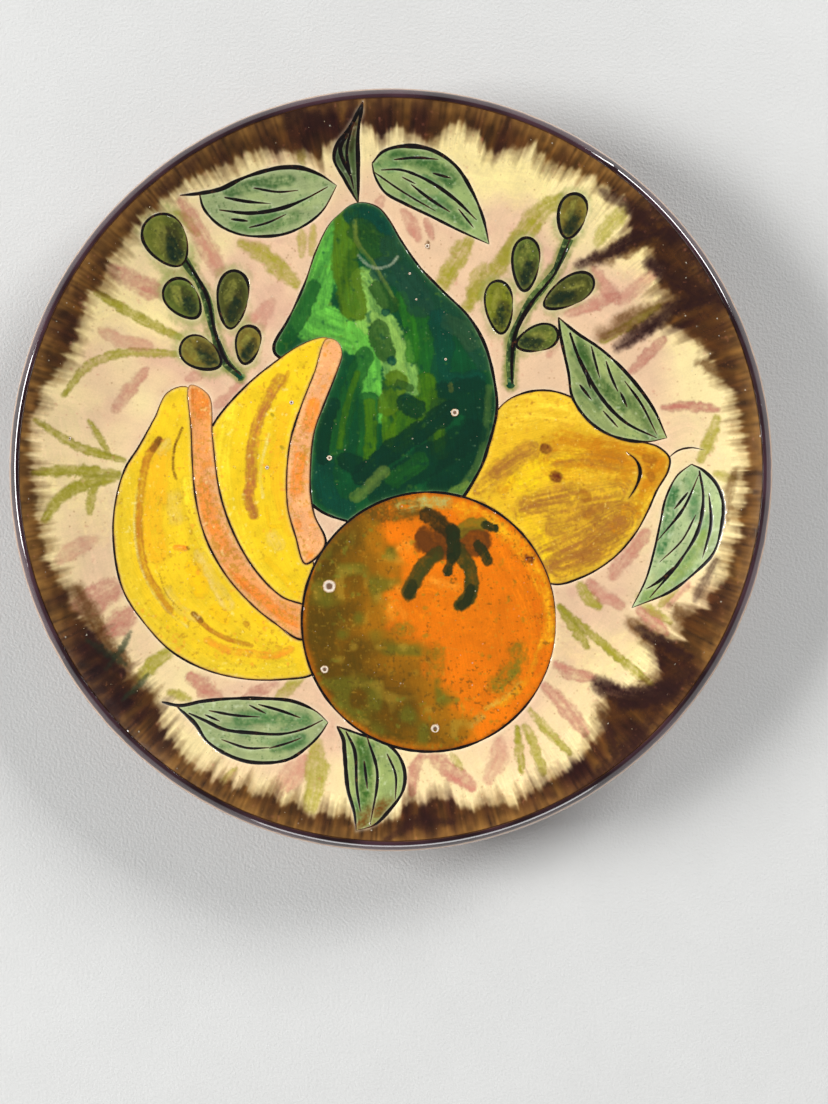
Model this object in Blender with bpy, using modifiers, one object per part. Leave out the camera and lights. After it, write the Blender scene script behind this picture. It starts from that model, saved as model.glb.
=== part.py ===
"""Round glazed ceramic plate, painted with fruit inside incised outlines.

The clay disc, its foot ring and its lip are turned. Each glaze colour is a thin patch of its own that
lies on the clay, and the incised outlines are the narrow gaps between the patches.
The origin is at the centre of the foot's resting plane, +Z is up and +Y is the top of the picture.
"""

import math

import bmesh
import bpy

MM = 0.001

# Driving dimensions, in millimetres.
PLATE_RADIUS = 150.0
LIP_INNER_RADIUS = 145.3
LIP_TOP = 28.0
FOOT_OUTER_RADIUS = 90.0
FOOT_INNER_RADIUS = 82.0
FOOT_HEIGHT = 6.0
FLOOR_RADIUS = 85.0
FLOOR_TOP = 13.0
GAP = 0.3
GLAZE_THICKNESS = 0.6
GROOVE = 0.6
STEPS = 72
LEAST_MITRE = 0.6

# The clay's upper side, from the flat floor out to the wall: (radius, height).
FACE_PROFILE = [
    (FLOOR_RADIUS, FLOOR_TOP),
    (115.0, 15.5),
    (130.0, 19.0),
    (140.0, 24.0),
    (LIP_INNER_RADIUS - GAP, 27.0),
]
# The clay's underside, from the edge of the body back in to the foot.
BACK_PROFILE = [
    (LIP_INNER_RADIUS - GAP, 20.5),
    (133.0, 13.5),
    (112.0, 8.2),
    (FOOT_OUTER_RADIUS + 4.0, FOOT_HEIGHT),
]
# The lip's section, from the top of its inner side round the outside and back.
LIP_PROFILE = [
    (LIP_INNER_RADIUS, 27.4),
    (LIP_INNER_RADIUS + 0.7, LIP_TOP),
    (LIP_INNER_RADIUS + 1.5, LIP_TOP - 0.1),
    (148.6, 26.4),
    (149.6, 25.3),
    (PLATE_RADIUS, 23.8),
    (149.4, 22.2),
    (148.0, 21.3),
    (LIP_INNER_RADIUS, 20.2),
]

# Colours with their roughness, as (red, green, blue, roughness).
FINISHES = {
    "clay": (0.42, 0.24, 0.14, 0.75),
    "aubergine": (0.06, 0.03, 0.04, 0.12),
    "brown": (0.11, 0.05, 0.02, 0.12),
    "cream": (0.86, 0.70, 0.42, 0.15),
    "pear_green": (0.03, 0.20, 0.03, 0.12),
    "banana_yellow": (0.90, 0.62, 0.05, 0.15),
    "peach": (0.90, 0.42, 0.14, 0.15),
    "orange": (0.80, 0.24, 0.02, 0.15),
    "calyx_green": (0.02, 0.07, 0.03, 0.12),
    "lemon_yellow": (0.85, 0.55, 0.06, 0.15),
    "leaf_green": (0.19, 0.36, 0.14, 0.15),
    "olive_green": (0.12, 0.16, 0.03, 0.15),
}


# ---- Helpers: scene, materials, turned pieces and flat outlines ----

def clear_scene():
    for old in list(bpy.data.objects):
        bpy.data.objects.remove(old, do_unlink=True)


def new_collection(name):
    collection = bpy.data.collections.new(name)
    bpy.context.scene.collection.children.link(collection)
    return collection


def make_material(name):
    red, green, blue, roughness = FINISHES[name]
    material = bpy.data.materials.new(name)
    material.use_nodes = True
    shader = material.node_tree.nodes["Principled BSDF"]
    shader.inputs["Base Color"].default_value = (red, green, blue, 1.0)
    shader.inputs["Roughness"].default_value = roughness
    shader.inputs["Metallic"].default_value = 0.0
    return material


def add_object(name, data, collection, material=None):
    piece = bpy.data.objects.new(name, data)
    collection.objects.link(piece)
    if material is not None:
        data.materials.append(material)
    return piece


def turned(name, profile, collection, material=None, closed=False):
    """Screw a profile of (radius, height) points, listed down its outer side, round the Z axis."""
    mesh = bpy.data.meshes.new(name)
    points = [(radius * MM, 0.0, height * MM) for radius, height in profile]
    edges = [(index, index + 1) for index in range(len(points) - 1)]
    if closed:
        edges.append((len(points) - 1, 0))
    mesh.from_pydata(points, edges, [])
    piece = add_object(name, mesh, collection, material)
    screw = piece.modifiers.new("turn", "SCREW")
    screw.steps = STEPS
    screw.render_steps = STEPS
    screw.use_merge_vertices = True
    screw.merge_threshold = 0.00001
    screw.use_smooth_shade = True
    return piece


def face_height(radius):
    """Height of the clay's upper side at a radius, read off the straight runs of its profile."""
    if radius <= FLOOR_RADIUS:
        return FLOOR_TOP
    for (inner, low), (outer, high) in zip(FACE_PROFILE, FACE_PROFILE[1:]):
        if radius <= outer:
            return low + (high - low) * (radius - inner) / (outer - inner)
    return FACE_PROFILE[-1][1]


def side_direction(start, end):
    """Unit vector square to a line, on its right hand side."""
    run_x = end[0] - start[0]
    run_y = end[1] - start[1]
    length = math.hypot(run_x, run_y)
    return run_y / length, -run_x / length


def grown(points, amount):
    """Move each point of an anticlockwise outline outward, mitred at its corner."""
    moved = []
    for index, point in enumerate(points):
        before = side_direction(points[index - 1], point)
        after = side_direction(point, points[(index + 1) % len(points)])
        mitre_x = before[0] + after[0]
        mitre_y = before[1] + after[1]
        stretch = 2.0 * amount / max(mitre_x ** 2 + mitre_y ** 2, LEAST_MITRE)
        moved.append((point[0] + mitre_x * stretch, point[1] + mitre_y * stretch))
    return moved


def outline_prism(name, points, collection, material=None, corners=(), detail=3):
    """A tall prism through the plate on a smooth outline. Points at the corners stay sharp."""
    curve = bpy.data.curves.new(name, "CURVE")
    curve.dimensions = "2D"
    curve.fill_mode = "BOTH"
    curve.extrude = LIP_TOP * MM
    curve.resolution_u = detail
    spline = curve.splines.new("BEZIER")
    spline.bezier_points.add(len(points) - 1)
    spline.use_cyclic_u = True
    for index, (x, y) in enumerate(points):
        knot = spline.bezier_points[index]
        knot.co = (x * MM, y * MM, 0.0)
        handle = "VECTOR" if index in corners else "AUTO"
        knot.handle_left_type = handle
        knot.handle_right_type = handle
    outline = add_object(name + "_outline", curve, collection)
    bpy.context.view_layer.update()
    evaluated = outline.evaluated_get(bpy.context.evaluated_depsgraph_get())
    mesh = bpy.data.meshes.new_from_object(evaluated)
    place = outline.matrix_world.copy()
    bpy.data.objects.remove(outline, do_unlink=True)
    weld(mesh)
    prism = add_object(name, mesh, collection, material)
    prism.matrix_world = place
    return prism


def weld(mesh):
    """Join the caps of a filled curve to its sides."""
    cage = bmesh.new()
    cage.from_mesh(mesh)
    bmesh.ops.remove_doubles(cage, verts=cage.verts, dist=0.00001)
    bmesh.ops.recalc_face_normals(cage, faces=cage.faces)
    cage.to_mesh(mesh)
    cage.free()


def hide(piece):
    piece.hide_render = True
    piece.display_type = "WIRE"


def cut(piece, operation, other):
    """Add one exact Boolean, with an object or a whole collection as the other side."""
    boolean = piece.modifiers.new(operation.lower(), "BOOLEAN")
    boolean.operation = operation
    boolean.solver = "EXACT"
    if isinstance(other, bpy.types.Collection):
        boolean.operand_type = "COLLECTION"
        boolean.collection = other
    else:
        boolean.object = other


# ---- The painted motifs, front to back, in millimetres from the plate's centre ----

ORANGE_CENTRE = (15.0, -60.0)
ORANGE_RADII = (50.5, 51.5)
ORANGE = [
    (ORANGE_CENTRE[0] + ORANGE_RADII[0] * math.cos(math.tau * turn / 16),
     ORANGE_CENTRE[1] + ORANGE_RADII[1] * math.sin(math.tau * turn / 16))
    for turn in range(16)
]

# A six armed star of brush strokes, from the stalk scar outward.
CALYX = [
    (13, -16), (21, -19.5), (28, -20), (41, -22), (41, -24.5), (33, -24.5), (37, -31), (38, -36.5),
    (35, -36.5), (30.5, -28), (28, -29.5), (32, -42), (31.5, -50), (27, -55), (26, -52), (28.5, -46),
    (26, -37), (22.5, -41), (22, -33), (18, -38), (11, -46), (7.5, -52), (4.5, -51), (7, -43),
    (13, -35), (18, -29), (10, -26.5), (11, -24), (19, -25.5), (13.5, -19),
]

BANANA_LEFT_SHADE = [
    (-80, 34), (-79.5, 16), (-78, -9), (-74, -26), (-66, -41), (-55.5, -53), (-47, -60), (-35, -67),
    (-30, -56), (-43.5, -50), (-54, -39.5), (-62.5, -25), (-68, -9), (-71, 13), (-72.5, 30),
]
BANANA_LEFT = [
    (-77, 29), (-81.5, 33.5), (-89, 31), (-94, 21), (-100, 10), (-106, 0), (-110, -17), (-109.5, -34),
    (-106, -48), (-99, -59), (-88, -71), (-75, -78.5), (-60, -82.5), (-43.5, -83), (-30, -80),
    (-28, -66), (-40, -61), (-49, -52), (-60, -40), (-68, -26), (-73, -9), (-75.5, 16),
]
BANANA_RIGHT_SHADE = [
    (-25.5, 52.5), (-30.5, 39), (-36, 25), (-40, 12), (-41.5, -2), (-41, -15), (-38, -26), (-34, -37),
    (-26, -29), (-30.5, -17.5), (-32, -8.5), (-32, 2), (-30.5, 15.5), (-26, 28), (-21.5, 39.5),
    (-19.5, 46.5), (-21, 51),
]
BANANA_RIGHT = [
    (-23, 51), (-26, 53), (-35, 50.5), (-48.5, 41.5), (-59, 32.5), (-70, 19.5), (-74, 10),
    (-73, -9), (-68, -26), (-60, -40), (-49, -51), (-36, -60), (-28, -62), (-31, -36),
    (-35, -22), (-37, -3), (-35.5, 10), (-31, 25), (-26, 39),
]
PEAR = [
    (-20, 102.5), (-24.5, 98), (-30, 87), (-34.5, 74), (-41, 60), (-46.5, 50), (-46, 46.5),
    (-40, 43), (-27, 38), (-31, 25), (-36, 5), (-36, -8), (-29.5, -15), (-24, -18), (-15, -20.5),
    (0, -22), (22, -17),
    (34.5, -1), (39, 11), (42, 24), (41.5, 33), (37.5, 49.5), (31, 61), (20, 72), (11, 81.5),
    (4, 91.5), (-1, 100), (-5, 104.5), (-11, 106.5), (-16, 105.5),
]
LEMON = [
    (30, 2), (29, -13), (42, -24), (52, -36), (64, -45), (75.5, -42.5), (88, -35), (97, -25),
    (102, -16), (105.5, -8), (110, 0), (110.5, 5), (106, 9.5), (98, 12), (90, 17), (80, 24),
    (70, 30), (61, 32), (51.5, 30.5), (44, 26),
]

# The small three sided field of ground that the pear, the orange and the banana close off.
GROUND_GAP = [(-34, -30), (-14, -30), (-14, -14), (-34, -14)]

# Each leaf: its outline and the numbers of its pointed corners.
LEAVES = {
    "leaf_top_left": ([
        (-83, 108), (-75, 103), (-69.5, 97.5), (-60, 93.5), (-51, 92.5), (-41.5, 95), (-31, 101),
        (-20, 112), (-28, 118), (-36, 120), (-48.5, 118), (-61, 112), (-73, 108.5),
    ], (0, 7)),
    "leaf_top_right": ([
        (-7, 122), (-8, 118), (-5.5, 112), (1, 105.5), (11, 100.5), (25, 95.5), (39, 89.5),
        (37.5, 97), (32, 111), (25, 120), (16.5, 126), (7.5, 128), (-2, 126),
    ], (6,)),
    "leaf_stalk": ([
        (-11, 144), (-17, 132), (-21, 127), (-22, 122.5), (-18.5, 114.5), (-14, 109), (-13.5, 121),
        (-13, 133),
    ], (0, 5)),
    "leaf_lemon_top": ([
        (66.5, 61), (67.5, 50), (69, 40), (72, 29), (78, 20), (86.5, 13.5), (95, 11), (103, 11),
        (109, 13), (107, 23), (99.5, 33.5), (90, 43), (80.5, 48.5), (72, 55),
    ], (0, 8)),
    "leaf_lemon_side": ([
        (119, 2.5), (114, -2.5), (109.5, -10.5), (107, -21), (104.5, -32.5), (101, -43.5),
        (95, -54.5), (101, -53.5), (112.5, -48), (122.5, -39), (129.5, -26.5), (131, -14.5),
        (128.5, -6), (123, 1),
    ], (6,)),
    "leaf_bottom_left": ([
        (-90.5, -92), (-83, -96), (-74, -106.5), (-62.5, -113), (-52, -115.5), (-37, -113),
        (-30, -108.5), (-25, -102), (-25.5, -97), (-37, -91.5), (-51, -90.5), (-62.5, -91.5),
        (-76.5, -93.5),
    ], (0, 7)),
    "leaf_bottom_middle": ([
        (-18, -104.5), (-21, -110), (-19.5, -118), (-16.5, -130), (-14.5, -142), (-10, -140),
        (-2.5, -135.5), (4, -128.5), (5.5, -120.5), (2.5, -114), (-8, -109),
    ], (0, 4)),
}

# Each olive: centre x and y, half its width and half its length, and its lean in degrees.
OLIVES = {
    "sprig_left_olive_1": (-88.5, 90.5, 8, 10.5, 30),
    "sprig_left_olive_2": (-82.5, 68, 6.2, 8.8, 40),
    "sprig_left_olive_3": (-63, 68, 6, 11.5, -5),
    "sprig_left_olive_4": (-75.5, 46.5, 6, 8.8, 60),
    "sprig_left_olive_5": (-57, 50, 4.8, 7.6, -10),
    "sprig_right_olive_1": (71.5, 100.5, 5.4, 8.6, -12),
    "sprig_right_olive_2": (53.5, 82, 5.3, 10.5, -3),
    "sprig_right_olive_3": (43, 65, 5.4, 10.5, 5),
    "sprig_right_olive_4": (70.5, 71, 5.4, 11, -60),
    "sprig_right_olive_5": (58, 52.5, 5, 8.6, -72),
}

# Each stem: the points of its centre line, and half its width.
STEMS = {
    "sprig_left_stem": ([(-81, 84), (-73.5, 70), (-70, 57), (-65.5, 46), (-60, 37.5)], 1.2),
    "sprig_right_stem": ([(68, 91), (64, 80), (56, 71), (49, 57), (47.5, 46), (47.3, 34.5)], 1.2),
}

# Where the brown glaze stops on its way in from the lip: (degrees from +X, radius).
BAND_EDGE = [
    (0, 134), (22, 131), (40, 122), (58, 127), (78, 129), (96, 123), (110, 132), (135, 134),
    (158, 136), (180, 137), (200, 134), (216, 124), (235, 126), (262, 130), (285, 129),
    (305, 124), (322, 122), (342, 130),
]


def oval(centre_x, centre_y, half_width, half_length, lean, corners=8):
    """An oval outline, leaning anticlockwise from upright."""
    turn = math.radians(lean)
    points = []
    for index in range(corners):
        angle = math.tau * index / corners
        across = half_width * math.cos(angle)
        along = half_length * math.sin(angle)
        points.append((centre_x + across * math.cos(turn) - along * math.sin(turn),
                       centre_y + across * math.sin(turn) + along * math.cos(turn)))
    return points


def stem_outline(line, half_width):
    """A ribbon round a centre line: up one side and back down the other."""
    left = []
    right = []
    for index, (x, y) in enumerate(line):
        before = line[max(index - 1, 0)]
        after = line[min(index + 1, len(line) - 1)]
        run_x = after[0] - before[0]
        run_y = after[1] - before[1]
        length = math.hypot(run_x, run_y)
        side_x = -run_y / length * half_width
        side_y = run_x / length * half_width
        left.append((x + side_x, y + side_y))
        right.append((x - side_x, y - side_y))
    return right + left[::-1]


def anticlockwise(points):
    area = sum(a[0] * b[1] - b[0] * a[1] for a, b in zip(points, points[1:] + points[:1]))
    return points if area > 0 else points[::-1]


def list_motifs():
    """Every glaze patch front to back: name, outline, sharp corners, finish, curve detail."""
    motifs = [
        ("orange_calyx", CALYX, (), "calyx_green", 1),
        ("orange_glaze", ORANGE, (), "orange", 3),
        ("banana_left_shade", BANANA_LEFT_SHADE, (0, 14), "peach", 2),
        ("banana_left_flesh", BANANA_LEFT, (), "banana_yellow", 2),
        ("banana_right_shade", BANANA_RIGHT_SHADE, (), "peach", 2),
        ("banana_right_flesh", BANANA_RIGHT, (), "banana_yellow", 2),
        ("pear_glaze", PEAR, (), "pear_green", 2),
    ]
    for name, (points, corners) in LEAVES.items():
        motifs.append((name, points, corners, "leaf_green", 2))
    motifs.append(("lemon_glaze", LEMON, (), "lemon_yellow", 2))
    for name, sizes in OLIVES.items():
        motifs.append((name, oval(*sizes), (), "olive_green", 2))
    for name, (line, half_width) in STEMS.items():
        motifs.append((name, stem_outline(line, half_width), (), "olive_green", 2))
    motifs.append(("cream_ground_gap", GROUND_GAP, (0, 1, 2, 3), "cream", 1))
    return motifs


# ---- Build ----

def build_clay(parts, materials):
    """The turned disc, its foot ring and its lip, each a body of its own."""
    body_profile = [(0.0, FLOOR_TOP)] + FACE_PROFILE + BACK_PROFILE + [(0.0, FOOT_HEIGHT)]
    turned("plate_body", body_profile, parts, materials["clay"])
    foot_top = FOOT_HEIGHT - GAP
    foot_profile = [
        (FOOT_INNER_RADIUS, foot_top),
        (FOOT_OUTER_RADIUS, foot_top),
        (FOOT_OUTER_RADIUS, 1.0),
        (FOOT_OUTER_RADIUS - 1.0, 0.0),
        (FOOT_INNER_RADIUS + 1.0, 0.0),
        (FOOT_INNER_RADIUS, 1.0),
    ]
    turned("foot_ring", foot_profile, parts, materials["clay"], closed=True)
    turned("rim_lip", LIP_PROFILE, parts, materials["aubergine"], closed=True)


def glaze_shell(name, collection, material=None):
    """A thin turned skin just above the clay. The patches are cut from copies of it."""
    edge_radius = LIP_INNER_RADIUS - GAP
    radii = [0.0, FLOOR_RADIUS, 115.0, 130.0, 140.0, edge_radius]
    top = [(radius, face_height(radius) + GAP + GLAZE_THICKNESS) for radius in radii]
    bottom = [(radius, face_height(radius) + GAP) for radius in radii]
    return turned(name, top + bottom[::-1], collection, material)


def build_glaze(parts, cutters, materials):
    """Cut each patch by the patches in front of it, then trim it to the skin."""
    skin = glaze_shell("skin_guide", cutters)
    hide(skin)
    clearances = new_collection("motif_clearances")
    in_front = []
    for name, points, corners, finish, detail in list_motifs():
        outline = anticlockwise(points)
        if outline is not points:
            corners = tuple(len(points) - 1 - index for index in corners)
        patch = outline_prism(name, outline, parts, materials[finish], corners, detail)
        for cutter in in_front:
            if boxes_meet(patch, cutter):
                cut(patch, "DIFFERENCE", cutter)
        cut(patch, "INTERSECT", skin)
        wider = outline_prism("clear_" + name, grown(outline, GROOVE), clearances, None, corners, detail)
        hide(wider)
        in_front.append(wider)

    edge = [(radius * math.cos(math.radians(angle)), radius * math.sin(math.radians(angle)))
            for angle, radius in BAND_EDGE]
    inside_band = outline_prism("band_edge", edge, cutters)
    hide(inside_band)
    beyond_edge = outline_prism("band_edge_clear", grown(edge, GROOVE), cutters)
    hide(beyond_edge)

    ground = glaze_shell("cream_ground", parts, materials["cream"])
    cut(ground, "INTERSECT", inside_band)
    cut(ground, "DIFFERENCE", clearances)
    band = glaze_shell("brown_band", parts, materials["brown"])
    cut(band, "DIFFERENCE", beyond_edge)
    cut(band, "DIFFERENCE", clearances)


def boxes_meet(first, second):
    """Whether the plan boxes of two prisms overlap, so that a cut is worth making."""
    for axis in (0, 1):
        first_values = [vertex.co[axis] for vertex in first.data.vertices]
        second_values = [vertex.co[axis] for vertex in second.data.vertices]
        if max(first_values) < min(second_values) or max(second_values) < min(first_values):
            return False
    return True


def build():
    clear_scene()
    parts = new_collection("painted_ceramic_plate")
    cutters = new_collection("cutters")
    materials = {name: make_material(name) for name in FINISHES}
    build_clay(parts, materials)
    build_glaze(parts, cutters, materials)


build()
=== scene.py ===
import math

import bmesh
import bpy
import numpy as np
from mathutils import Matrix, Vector, kdtree
from mathutils.geometry import delaunay_2d_cdt


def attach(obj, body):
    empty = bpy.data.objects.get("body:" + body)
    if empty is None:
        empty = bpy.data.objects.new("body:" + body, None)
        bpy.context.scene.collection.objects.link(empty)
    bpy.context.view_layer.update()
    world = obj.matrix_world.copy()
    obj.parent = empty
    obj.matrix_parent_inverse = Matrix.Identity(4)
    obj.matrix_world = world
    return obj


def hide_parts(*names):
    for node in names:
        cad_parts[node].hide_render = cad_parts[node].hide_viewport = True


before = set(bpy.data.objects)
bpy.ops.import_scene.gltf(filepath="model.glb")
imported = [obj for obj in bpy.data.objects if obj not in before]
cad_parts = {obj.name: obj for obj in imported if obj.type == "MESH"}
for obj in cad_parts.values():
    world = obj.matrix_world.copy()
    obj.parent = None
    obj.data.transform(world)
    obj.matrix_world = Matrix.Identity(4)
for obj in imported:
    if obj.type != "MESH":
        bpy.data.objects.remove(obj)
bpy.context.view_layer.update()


# ---- The clay body: back of the plate --------------------------------------------------------
# A disc of red-brown clay turned on a wheel: a flat floor, a wall that lifts towards the lip and
# a shallow underside. The back is washed with thin brown glaze, and the turning marks show in it.

MM = 0.001
FLOOR_RADIUS = 85.0
WALL_RADIUS = 145.0
FLOOR_TOP = 13.0
WALL_RISE = 14.0


def face_height(radius):
    """Height of the clay's upper side, in millimetres, at a distance from the middle."""
    climb = np.clip((np.asarray(radius, float) - FLOOR_RADIUS) / (WALL_RADIUS - FLOOR_RADIUS), 0, 1.1)
    return FLOOR_TOP + WALL_RISE * climb ** 2.5


def placed(name, data):
    """An object that holds a mesh, a light or a camera, put in the scene."""
    piece = bpy.data.objects.new(name, data)
    bpy.context.scene.collection.objects.link(piece)
    return piece


def belongs(piece, slot, *nodes):
    """The plate has no moving parts, so every piece rides on the one body."""
    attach(piece, "root")
    if nodes:
        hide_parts(*nodes)


SWEEP_RADIUS = 100.0


def geometry_tree(name, taken, given, settings):
    """An empty Geometry Nodes tree: one geometry in, one out, and settings by name and kind."""
    tree = bpy.data.node_groups.new(name, "GeometryNodeTree")
    tree.interface.new_socket(name=taken, in_out="INPUT", socket_type="NodeSocketGeometry")
    for label, kind in settings:
        tree.interface.new_socket(name=label, in_out="INPUT", socket_type="NodeSocket" + kind)
    tree.interface.new_socket(name=given, in_out="OUTPUT", socket_type="NodeSocketGeometry")
    return tree, tree.nodes.new("NodeGroupInput"), tree.nodes.new("NodeGroupOutput")


def make_throwing_wheel():
    """Geometry Nodes tree: sweep a section, drawn as a chain of edges, round the upright axis."""
    tree, enter, leave = geometry_tree("throwing_wheel", "Section", "Thrown",
                                       [("Steps", "Int"), ("Sweep Radius", "Float"), ("Glaze", "Material")])
    section = tree.nodes.new("GeometryNodeMeshToCurve")
    circle = tree.nodes.new("GeometryNodeCurvePrimitiveCircle")
    sweep = tree.nodes.new("GeometryNodeCurveToMesh")
    merge = tree.nodes.new("GeometryNodeMergeByDistance")
    merge.inputs["Distance"].default_value = 0.000002
    real = tree.nodes.new("GeometryNodeRealizeInstances")
    coated = tree.nodes.new("GeometryNodeSetMaterial")
    tree.links.new(enter.outputs["Section"], section.inputs["Mesh"])
    tree.links.new(enter.outputs["Steps"], circle.inputs["Resolution"])
    tree.links.new(enter.outputs["Sweep Radius"], circle.inputs["Radius"])
    tree.links.new(circle.outputs["Curve"], sweep.inputs["Curve"])
    tree.links.new(section.outputs["Curve"], sweep.inputs["Profile Curve"])
    tree.links.new(sweep.outputs["Mesh"], merge.inputs["Geometry"])
    tree.links.new(merge.outputs["Geometry"], real.inputs["Geometry"])
    tree.links.new(real.outputs["Geometry"], coated.inputs["Geometry"])
    tree.links.new(enter.outputs["Glaze"], coated.inputs["Material"])
    tree.links.new(coated.outputs["Geometry"], leave.inputs["Thrown"])
    return tree


THROWING_WHEEL = make_throwing_wheel()


def run_tree(carrier, tree, values):
    """Run a Geometry Nodes tree on an object, with its inputs by name, and keep the plain mesh."""
    worker = carrier.modifiers.new("worker", "NODES")
    worker.node_group = tree
    for socket in tree.interface.items_tree:
        if socket.in_out == "INPUT" and values.get(socket.name) is not None:
            worker[socket.identifier] = values[socket.name]
    ready = carrier.evaluated_get(bpy.context.evaluated_depsgraph_get())
    mesh = bpy.data.meshes.new_from_object(ready)
    carrier.modifiers.clear()
    bpy.data.objects.remove(carrier)
    return mesh


def wheel_section(name, points, closed=True):
    """A chain of edges through the points of a section, in millimetres, for the throwing wheel."""
    mesh = bpy.data.meshes.new(name)
    count = len(points)
    edges = [(index, (index + 1) % count) for index in range(count if closed else count - 1)]
    mesh.from_pydata((np.array(points, float) * MM).tolist(), edges, [])
    return placed(name, mesh)


def thrown(name, profile, material, steps=360):
    """Throw a closed section of (radius, height) points on the wheel."""
    points = [(radius - SWEEP_RADIUS, -height, 0.0) for radius, height in profile]
    mesh = run_tree(wheel_section(name, points), THROWING_WHEEL,
                    {"Steps": steps, "Sweep Radius": SWEEP_RADIUS * MM, "Glaze": material})
    clean = bmesh.new()
    clean.from_mesh(mesh)
    bmesh.ops.recalc_face_normals(clean, faces=clean.faces)
    clean.to_mesh(mesh)
    clean.free()
    mesh.shade_smooth()
    mesh.set_sharp_from_angle(angle=math.radians(50))
    return placed(name, mesh)


def rounded(points, step):
    """A smooth line through a few points, with a point about every step millimetres."""
    knots = np.array(points, float).reshape(-1, 2)
    first = 2 * knots[0] - knots[1]
    last = 2 * knots[-1] - knots[-2]
    knots = np.vstack([first, knots, last])
    return through(knots, step)


def through(knots, step):
    """Centripetal Catmull-Rom line through all but the first and the last knot."""
    line = []
    for a, b, c, d in zip(knots, knots[1:], knots[2:], knots[3:]):
        gaps = [max(float(np.linalg.norm(q - p)) ** 0.5, 1e-4) for p, q in ((a, b), (b, c), (c, d))]
        before, here, after = gaps
        leave = here * ((b - a) / before - (c - a) / (before + here) + (c - b) / here)
        reach = here * ((c - b) / here - (d - b) / (here + after) + (d - c) / after)
        count = max(2, int(round(np.linalg.norm(c - b) / step)))
        t = (np.arange(count) / count)[:, None]
        line.append((2 * t ** 3 - 3 * t ** 2 + 1) * b + (t ** 3 - 2 * t ** 2 + t) * leave
                    + (3 * t ** 2 - 2 * t ** 3) * c + (t ** 3 - t ** 2) * reach)
    line.append(knots[-2][None, :])
    return np.vstack(line)


def node_group(name, inputs, outputs):
    """An empty shader group with float or colour sockets: name, kind and value of each input."""
    group = bpy.data.node_groups.new(name, "ShaderNodeTree")
    for label, kind, value in inputs:
        socket = group.interface.new_socket(name=label, in_out="INPUT", socket_type=kind)
        socket.default_value = value
    for label, kind in outputs:
        group.interface.new_socket(name=label, in_out="OUTPUT", socket_type=kind)
    return group


def add(tree, kind, **settings):
    node = tree.nodes.new(kind)
    for key, value in settings.items():
        setattr(node, key, value)
    return node


def math_node(tree, operation, first, second=None, clamp=False):
    """One Math node. A number goes on its socket, and a socket is linked to it."""
    node = add(tree, "ShaderNodeMath", operation=operation, use_clamp=clamp)
    for socket, value in zip(node.inputs, (first, second)):
        if value is None:
            continue
        if isinstance(value, (int, float)):
            socket.default_value = value
        else:
            tree.links.new(value, socket)
    return node.outputs[0]


def noise(tree, vector, scale, detail=2.0, roughness=0.5):
    node = add(tree, "ShaderNodeTexNoise")
    node.inputs["Scale"].default_value = scale
    node.inputs["Detail"].default_value = detail
    node.inputs["Roughness"].default_value = roughness
    tree.links.new(vector, node.inputs["Vector"])
    return node.outputs["Fac"]


def place_on(tree):
    """A point's place on the object, in metres."""
    return add(tree, "ShaderNodeTexCoord").outputs["Object"]


def ranged(tree, value, from_low, from_high, to_low, to_high):
    node = add(tree, "ShaderNodeMapRange")
    for label, number in (("From Min", from_low), ("From Max", from_high),
                          ("To Min", to_low), ("To Max", to_high)):
        if isinstance(number, (int, float)):
            node.inputs[label].default_value = number
        else:
            tree.links.new(number, node.inputs[label])
    tree.links.new(value, node.inputs["Value"])
    return node.outputs["Result"]


def mix_colour(tree, blend, amount, under, over):
    node = add(tree, "ShaderNodeMix", data_type="RGBA", blend_type=blend)
    for socket, value in ((node.inputs[0], amount), (node.inputs[6], under), (node.inputs[7], over)):
        if isinstance(value, (int, float, tuple)):
            socket.default_value = value
        else:
            tree.links.new(value, socket)
    return node.outputs[2]


def linear(colour):
    """A colour as seen, 0 to 255 a channel, turned into light values."""
    seen = np.asarray(colour, float) / 255
    return np.where(seen <= 0.04045, seen / 12.92, ((seen + 0.055) / 1.055) ** 2.4)


def shade(colour):
    return tuple(float(value) for value in linear(colour)) + (1.0,)


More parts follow.
